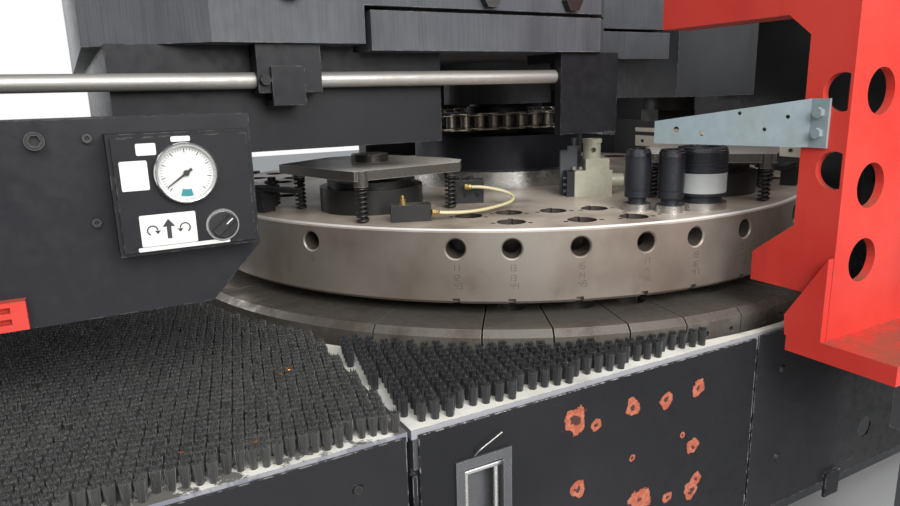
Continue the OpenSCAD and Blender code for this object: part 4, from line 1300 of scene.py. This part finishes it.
@dataclass
class PunchTool:
    """One punch in its station: canister, adjusting head, ribs and key screws."""

    name: str
    body: Body
    angle: float
    reach: float
    radius: float
    ribs: int = 0
    band: bool = False
    top: float = 0.105
    foot: float = 0.023
    seat: float = -0.060
    rib_drop: float = 0.012
    rib_pitch: float = 0.007
    screw_circle: float = 0.74
    screw_turn: float = 35.0
    sides: int = 56

    def build(self) -> None:
        """Builds the canister, its head, its screws and the band where it has one."""
        at = station(self.angle, self.reach, TURRET_TOP)
        split = self.top - (0.0085 if self.ribs else 0.0125)
        self.canister(at, split)
        self.head(at, split)
        self.screws(at)
        if self.band:
            r = self.radius
            strip = MeshKit(f"{self.name}_band")
            strip.turned(at, [(r - 0.001, 0.0285), (r + 0.00025, 0.0287), (r + 0.0003, 0.0295),
                              (r + 0.0003, 0.0615), (r + 0.00025, 0.0623), (r - 0.001, 0.0625)],
                         self.sides)
            strip.piece(self.body, Finishes.band)

    def canister(self, at: Matrix, split: float) -> None:
        """The black canister with its groove and its ribs.

        Args:
            at: the tool's place.
            split: where it ends.
        """
        r, foot = self.radius, self.foot
        outline = [(CORE, self.seat), (r - 0.0061, self.seat), (r - 0.0061, foot),
                   (r - 0.0012, foot),
                   (r, foot + 0.0012), (r, foot + 0.012), (r - 0.0008, foot + 0.0126),
                   (r - 0.0008, foot + 0.0140), (r, foot + 0.0146)]
        ribs = [self.top - self.rib_drop - self.rib_pitch * k
                for k in range(self.ribs - 1, -1, -1)]
        outline += [(r, ribs[0] - 0.002)] if ribs else []
        for z in ribs:
            outline += [(r, z), (r + 0.0009, z + 0.0006), (r + 0.0009, z + 0.0029),
                        (r, z + 0.0035)]
        outline += [(r, split - 0.0004), (r - 0.0006, split), (CORE, split)]
        kit = MeshKit(f"{self.name}_canister")
        kit.turned(at, outline, self.sides)
        kit.piece(self.body, Finishes.tool, self.name)

    def head(self, at: Matrix, split: float) -> None:
        """The adjusting head: a steel ring with a stepped top.

        Args:
            at: the tool's place.
            split: where the canister ends.
        """
        r, top = self.radius, self.top
        kit = MeshKit(f"{self.name}_head")
        kit.turned(at, [(CORE, split), (r - 0.0006, split), (r - 0.0001, split + 0.0006),
                        (r - 0.0001, top - 0.0052), (r - 0.0012, top - 0.004),
                        (r - 0.002, top - 0.004), (r - 0.002, top - 0.0010), (r - 0.003, top),
                        (r * 0.5, top), (r * 0.5, top - 0.003), (0.004, top - 0.003),
                        (0.004, top - 0.006), (CORE, top - 0.006)], self.sides)
        kit.piece(self.body, Finishes.head, self.name)

    def screws(self, at: Matrix) -> None:
        """The three bright screws of the head.

        Args:
            at: the tool's place.
        """
        kit = MeshKit(f"{self.name}_screws")
        for k in range(3):
            turn = Matrix.Rotation(math.radians(120 * k + self.screw_turn), 4, "Z")
            seat = at @ turn @ Matrix.Translation((self.radius * self.screw_circle, 0,
                                                   self.top - 0.0004))
            kit.turned(seat, [(CORE, 0), (0.0026, 0), (0.0026, 0.0004), (0.0022, 0.0007),
                              (0.0010, 0.0007), (0.0010, 0.0001), (CORE, 0.0001)], 12)
        kit.piece(self.body, Finishes.bright_screw)


@dataclass
class Gauge:
    """The pressure gauge: rolled bezel, dial, marks and coloured arc."""

    at: Point = (-0.828, -0.680, 1.194)
    radius: float = 0.0315
    marks_r: float = 0.0252
    marks: int = 40
    arc_r: Flat = (0.017, 0.0245)
    arc_span: Flat = (252, 30)
    arc_steps: int = 16

    def build(self) -> None:
        """Builds bezel, dial, marks and arc."""
        at = place(self.at, QUARTER, "X")
        r = self.radius
        bezel = MeshKit("gauge_bezel")
        bezel.turned(at, [(r - 0.0055, -0.017), (r - 0.004, -0.017), (r - 0.004, 0.0002),
                          (r - 0.0012, 0.0002), (r, 0.0012), (r, 0.0072), (r - 0.0008, 0.0095),
                          (r - 0.0022, 0.011), (r - 0.0036, 0.0106), (r - 0.0042, 0.0085),
                          (r - 0.0042, 0.0046), (r - 0.0055, 0.0040)], 72)
        bezel.piece(Body.FRAME, Finishes.chrome, "pressure_gauge")
        dial = MeshKit("gauge_dial")
        dial.turned(at, [(0.0017, 0.0046), (r - 0.0043, 0.0046), (r - 0.0043, 0.0051),
                         (0.0017, 0.0051)], 60)
        dial.piece(Body.FRAME, Finishes.dial)
        marks = MeshKit("gauge_marks")
        for k in range(self.marks + 1):
            turn = at @ Matrix.Rotation(math.radians(-45 + 270 * k / self.marks), 4, "Z")
            long, wide = (0.0042, 0.0004) if k % 5 == 0 else (0.0022, 0.0002)
            marks.block(turn, (self.marks_r - long, -wide, 0.00505),
                        (self.marks_r, wide, 0.00525))
        marks.piece(Body.FRAME, Finishes.ink)
        band = MeshKit("gauge_arc")
        inner, outer = (arc(radius, *self.arc_span, self.arc_steps) for radius in self.arc_r)
        for k in range(self.arc_steps):
            band.mesh.faces.new(band.ring(at, [
                (*flat, 0.00518) for flat in (inner[k], outer[k], outer[k + 1], inner[k + 1])]))
        band.piece(Body.FRAME, Finishes.teal)


@dataclass
class ControlPanel:
    """The plates, arrows, knob and ring on the face of the control box."""

    face: float = -0.680
    top: float = 1.063
    print_y: float = -0.6807
    plates: tuple[tuple[float, float, float, float], ...] = (
        (-0.839, -0.820, 0.1632, 0.1686), (-0.873, -0.854, 0.151, 0.163),
        (-0.890, -0.864, 0.116, 0.146), (-0.878, -0.823, 0.057, 0.090),
        (-0.882, -0.790, 0.0522, 0.0565))
    knob_at: Flat = (-0.796, 0.072)
    knob_turn: float = math.radians(40)
    grip: Point = (0.0136, 0.0046, 0.0113)
    arrow_z: float = 0.0735
    arrow_x: Point = (-0.8665, -0.8505, -0.8345)
    ring_r: Flat = (0.0042, 0.0056)

    def build(self) -> None:
        """Builds the plates, their print and the knob."""
        kit = MeshKit("panel_labels")
        for x0, x1, z0, z1 in self.plates:
            self.plate(kit, (x0, self.top + z0), (x1, self.top + z1))
        kit.piece(Body.FRAME, Finishes.label, "label_plates")
        self.arrows()
        self.knob()

    def plate(self, kit: MeshKit, low: Flat, high: Flat) -> None:
        """One thin plate with rounded corners.

        Args:
            kit: the mesh it joins.
            low: the x and z of its lower left corner.
            high: the x and z of its upper right corner.
        """
        r = min(0.0016, (high[1] - low[1]) / 3)
        right, left, roof, foot = high[0] - r, low[0] + r, high[1] - r, low[1] + r
        flat = [(cx + x, cz + z) for cx, cz, start in (
            (right, roof, 0), (left, roof, 90), (left, foot, 180), (right, foot, 270))
            for x, z in arc(r, start, 90, 4)]
        kit.skin([kit.ring(Matrix.Identity(4), [(x, y, z) for x, z in flat])
                  for y in (self.face + 0.0002, self.face - 0.0006)])

    def arrows(self) -> None:
        """Prints an upward arrow between two small turning arrows on the large plate."""
        kit = MeshKit("panel_arrows")
        level = self.top + self.arrow_z
        left, middle, right = self.arrow_x
        kit.flat(Matrix.Translation((middle, self.print_y, level)),
                 [(0.0, 0.011), (0.0062, 0.0028), (0.0022, 0.0028), (0.0022, -0.010),
                  (-0.0022, -0.010), (-0.0022, 0.0028), (-0.0062, 0.0028)])
        for way, x in ((-1, left), (1, right)):
            at = Matrix.Translation((x, self.print_y, level))
            inner, outer = (arc(radius, -60, 240, 12) for radius in self.ring_r)
            tip = [(-0.0049, -0.0042), (-0.0019, -0.0004), (-0.0079, -0.0004)]
            for face in [(inner[k], outer[k], outer[k + 1], inner[k + 1]) for k in range(12)
                         ] + [tip]:
                kit.flat(at, [(dx * way, dz) for dx, dz in face])
        kit.piece(Body.FRAME, Finishes.ink)

    def knob(self) -> None:
        """Builds the two finger selector knob, its pointer line and its bright ring."""
        x, z = self.knob_at
        at = place((x, self.face, self.top + z), QUARTER, "X")
        kit = MeshKit("knob_grip")
        kit.turned(at, [(CORE, -0.015), (0.008, -0.015), (0.008, 0.0004), (0.0138, 0.0004),
                        (0.0145, 0.0012), (0.0145, 0.0036), (0.0136, 0.0043), (CORE, 0.0043)])
        turn = at @ Matrix.Rotation(self.knob_turn, 4, "Z")
        long, half, rise = self.grip
        for low, high, pinch in ((0.004, rise - 0.0012, 0.0), (rise - 0.0012, rise, 0.0010)):
            kit.skin([kit.ring(turn, self.grip_outline(long, half, inset, level))
                      for level, inset in ((low, 0.0), (high, pinch))], foot=False)
        kit.piece(Body.SELECTOR, Finishes.knob, "selector_knob")
        line = MeshKit("knob_line")
        line.block(turn, (0.003, -0.0006, rise), (0.0118, 0.0006, rise + 0.0001))
        line.piece(Body.SELECTOR, Finishes.label)
        ring = MeshKit("knob_ring")
        ring.turned(at, [(0.0148, 0.0), (0.0176, 0.0), (0.0176, 0.0016), (0.0168, 0.0026),
                         (0.0156, 0.0026), (0.0148, 0.0016)])
        ring.piece(Body.FRAME, Finishes.chrome)

    def grip_outline(self, long: float, half: float, inset: float, level: float) -> list[Point]:
        """The outline of the knob's grip at one level.

        Args:
            long: half its length.
            half: half its width.
            inset: how far it stands in from both.
            level: the height.

        Returns:
            The points.
        """
        found = []
        for back in (0, math.pi):
            for k in range(9):
                a = math.radians(-30 + 60 * k / 8) + back
                wide = max(-half + inset, min(half - inset, long * math.sin(a)))
                found.append(((long - inset) * math.cos(a), wide, level))
        return found


@dataclass
class StationNumbers:
    """Plain numbers stamped below the index holes of the upper turret."""

    rim: float = 0.690
    front: tuple[float, ...] = (-128.5, -121.2, -112.3, -103.2, -95.4, -85.7)
    rotating: Flat = (-150.0, -69.0)
    rows: Flat = (0.077, 0.090)
    size: float = 0.0092
    sink: float = 0.0002
    half: float = 0.0005

    def build(self) -> None:
        """Stamps the numbers of the upper turret's rim."""
        kit = MeshKit("station_numbers")
        for number, angle in enumerate(self.front):
            self.stamp(kit, angle, NUMBER_LEVEL, 11 + 2 * number)
            for row, height in enumerate(self.rows[:3 - number % 2]):
                self.stamp(kit, angle + 0.3 * row, TURRET_TOP - height, 12 + 31 * row + number)
        for number, angle in enumerate(self.rotating):
            self.stamp(kit, angle, NUMBER_LEVEL, 9 + 16 * number)
        for k in range(-5, 22):
            self.stamp(kit, 9 * k, NUMBER_LEVEL, 30 + k)
        kit.piece(Body.TURRET, Finishes.stamp)

    def strokes(self, digit: int) -> list[tuple[float, float, float, float]]:
        """The straight strokes of one digit in a cell one wide and two high.

        Args:
            digit: the digit.

        Returns:
            The strokes as lowest and highest corner.
        """
        bars = {"a": (0, 2, 1, 2), "b": (1, 1, 1, 2), "c": (1, 0, 1, 1), "d": (0, 0, 1, 0),
                "e": (0, 0, 0, 1), "f": (0, 1, 0, 2), "g": (0, 1, 1, 1)}
        shapes = ("abcdef", "bc", "abged", "abgcd", "fgbc", "afgcd", "afgedc", "abc", "abcdefg",
                  "abfgcd")
        return [bars[bar] for bar in shapes[digit]]

    def stamp(self, kit: MeshKit, angle: float, height: float, number: int) -> None:
        """Stamps one number on the rim.

        Args:
            kit: the mesh it joins.
            angle: the angle in degrees.
            height: the height of its middle.
            number: the number.
        """
        cell = self.size / 2
        at = station(angle, self.rim, height)
        text = str(number)
        for i, mark in enumerate(text):
            left = (i - len(text) / 2) * cell * 1.6 + 0.3 * cell
            for y0, z0, y1, z1 in self.strokes(int(mark)):
                kit.block(at, (-0.0004, left + y0 * cell - self.half,
                               (z0 - 1) * cell - self.half),
                          (self.sink, left + y1 * cell + self.half, (z1 - 1) * cell + self.half))


def smooth_line(points: Sequence[Vector], steps: int) -> list[Vector]:
    """A smooth line through points.

    Args:
        points: the points.
        steps: the steps between two of them.

    Returns:
        The finer points.
    """
    ends = [points[0] * 2 - points[1], *points, points[-1] * 2 - points[-2]]
    found = []
    for a, b, c, d in zip(ends, ends[1:], ends[2:], ends[3:]):
        for k in range(steps):
            t = k / steps
            found.append(0.5 * ((2 * b) + (c - a) * t + (2 * a - 5 * b + 4 * c - d) * t * t
                                + (3 * b - a - 3 * c + d) * t ** 3))
    return [*found, points[-1]]


@dataclass
class GreaseLine:
    """The nylon grease tube with its ferrules, and the nipple of the grease block."""

    route: tuple[Point, ...] = (
        (-0.296, -0.346, 0.034), (-0.268, -0.366, 0.033), (-0.240, -0.388, 0.026),
        (-0.232, -0.408, 0.018), (-0.252, -0.428, 0.012), (-0.300, -0.446, 0.009),
        (-0.350, -0.458, 0.009), (-0.392, -0.462, 0.012), (-0.424, -0.456, 0.015))
    radius: float = 0.003
    block_at: Flat = (-0.486, -0.430)
    block_turn: float = math.radians(-21)
    nipple_at: Point = (0.020, 0.010, 0.0279)

    def build(self) -> None:
        """Builds the tube, the ferrules and the nipple."""
        path = smooth_line([Vector((x, y, TURRET_TOP + z)) for x, y, z in self.route], 8)
        kit = MeshKit("grease_tube")
        kit.pipe(path, self.radius, 12)
        kit.piece(Body.TURRET, Finishes.tube, "lube_tube", 60.0)
        ends = MeshKit("tube_ferrules")
        for a, b in ((path[0], path[3]), (path[-1], path[-4])):
            along = (b - a).normalized()
            turn = along.to_track_quat("Z", "Y").to_matrix().to_4x4()
            ends.turned(Matrix.Translation(a - along * 0.001) @ turn,
                        [(0.0031, 0), (0.0058, 0), (0.0058, 0.006), (0.0048, 0.007),
                         (0.0048, 0.011), (0.0034, 0.013), (0.0031, 0.013)], 6)
        ends.piece(Body.TURRET, Finishes.brass)
        nipple = MeshKit("grease_nipple")
        at = place((*self.block_at, TURRET_TOP), self.block_turn)
        nipple.turned(at @ Matrix.Translation(self.nipple_at), [
            (0.0051, 0.0), (0.0062, 0.0), (0.0062, 0.004), (0.0052, 0.0045), (0.0052, 0.0092),
            (0.003, 0.0098), (0.0028, 0.0125), (0.0036, 0.0135), (0.0026, 0.0152),
            (0.0004, 0.0155)], 24)
        nipple.piece(Body.TURRET, Finishes.brass)


@dataclass
class CarriageWay:
    """The bright way and the cover strip along the front of the sheet carriage."""

    face: float = 0.796
    half: float = 0.345
    strips: tuple[Point, Point] = ((1.074, 1.1105, 0.0035), (1.1225, 1.137, 0.0055))
    screw_pitch: float = 0.062

    def build(self) -> None:
        """Builds the way, the strip and their screws."""
        kit = MeshKit("carriage_way")
        for low, high, out in self.strips:
            kit.block(Matrix.Identity(4), (self.face - out, -self.half, low),
                      (self.face + 0.001, self.half, high))
        round_edges(kit.piece(Body.CARRIAGE, Finishes.way), 0.0010)
        screws = MeshKit("carriage_way_screws")
        low, high, out = self.strips[0]
        for k in range(-5, 6):
            at = (self.face - out, self.screw_pitch * k, (low + high) / 2)
            screws.turned(place(at, -QUARTER, "Y"), [
                (CORE, 0.0), (0.0050, 0.0), (0.0050, 0.0035), (0.0044, 0.0042),
                (0.0026, 0.0042), (0.0026, 0.0016), (CORE, 0.0016)], 20)
        screws.piece(Body.CARRIAGE, Finishes.screw)


@dataclass
class DoorWire:
    """The bent wire left hanging from the door above its pull."""

    route: tuple[Point, ...] = (
        (-0.5483, -0.789, 0.836), (-0.5424, -0.7925, 0.8437), (-0.5265, -0.7925, 0.8511),
        (-0.5103, -0.7925, 0.8587))
    radius: float = 0.0011

    def build(self) -> None:
        """Builds the wire."""
        kit = MeshKit("door_wire")
        kit.pipe(smooth_line([Vector(point) for point in self.route], 6), self.radius, 8)
        kit.piece(Body.DOOR, Finishes.bright_screw, smooth=60.0)


@dataclass
class Flecks:
    """A few small copper chips lying in the bristles of the left table."""

    spots: tuple[Flat, ...] = (
        (-0.7163, -0.5959), (-0.731, -0.606), (-0.8726, -0.7521), (-0.8011, -0.7698))
    size: float = 0.0035
    height: float = 0.0285
    lean: float = 0.3

    def build(self) -> None:
        """Lays the chips on the bristle tips."""
        kit = MeshKit("copper_chips")
        for k, spot in enumerate(self.spots):
            at = place((*spot, PLATE_TOP + self.height), 1.3 * k)
            kit.turned(at @ Matrix.Rotation(self.lean, 4, "X"), [
                (CORE, 0.0), (self.size * 0.7, 0.0), (self.size, 0.0008),
                (self.size * 0.8, 0.0014), (CORE, 0.0009)], 7)
        kit.piece(Body.FRAME, Finishes.copper)


def main() -> None:
    """Builds the classes in order."""
    logging.basicConfig(level=logging.INFO, format="%(message)s")
    random.seed(7)
    for part in (Studio(), SolidParts(), BristleTable(), RollerChains(), ReturnSprings(),
                 PunchTool("tool_one", Body.PUNCH_ONE, -98.6, 0.580, 0.0215),
                 PunchTool("tool_two", Body.PUNCH_TWO, -95.1, 0.622, 0.0215),
                 PunchTool("tool_three", Body.PUNCH_THREE, -88.4, 0.618, 0.0425, 5, True),
                 Gauge(), ControlPanel(), StationNumbers(), GreaseLine(), CarriageWay(),
                 DoorWire(), Flecks()):
        part.build()


if __name__ == "__main__":
    main()
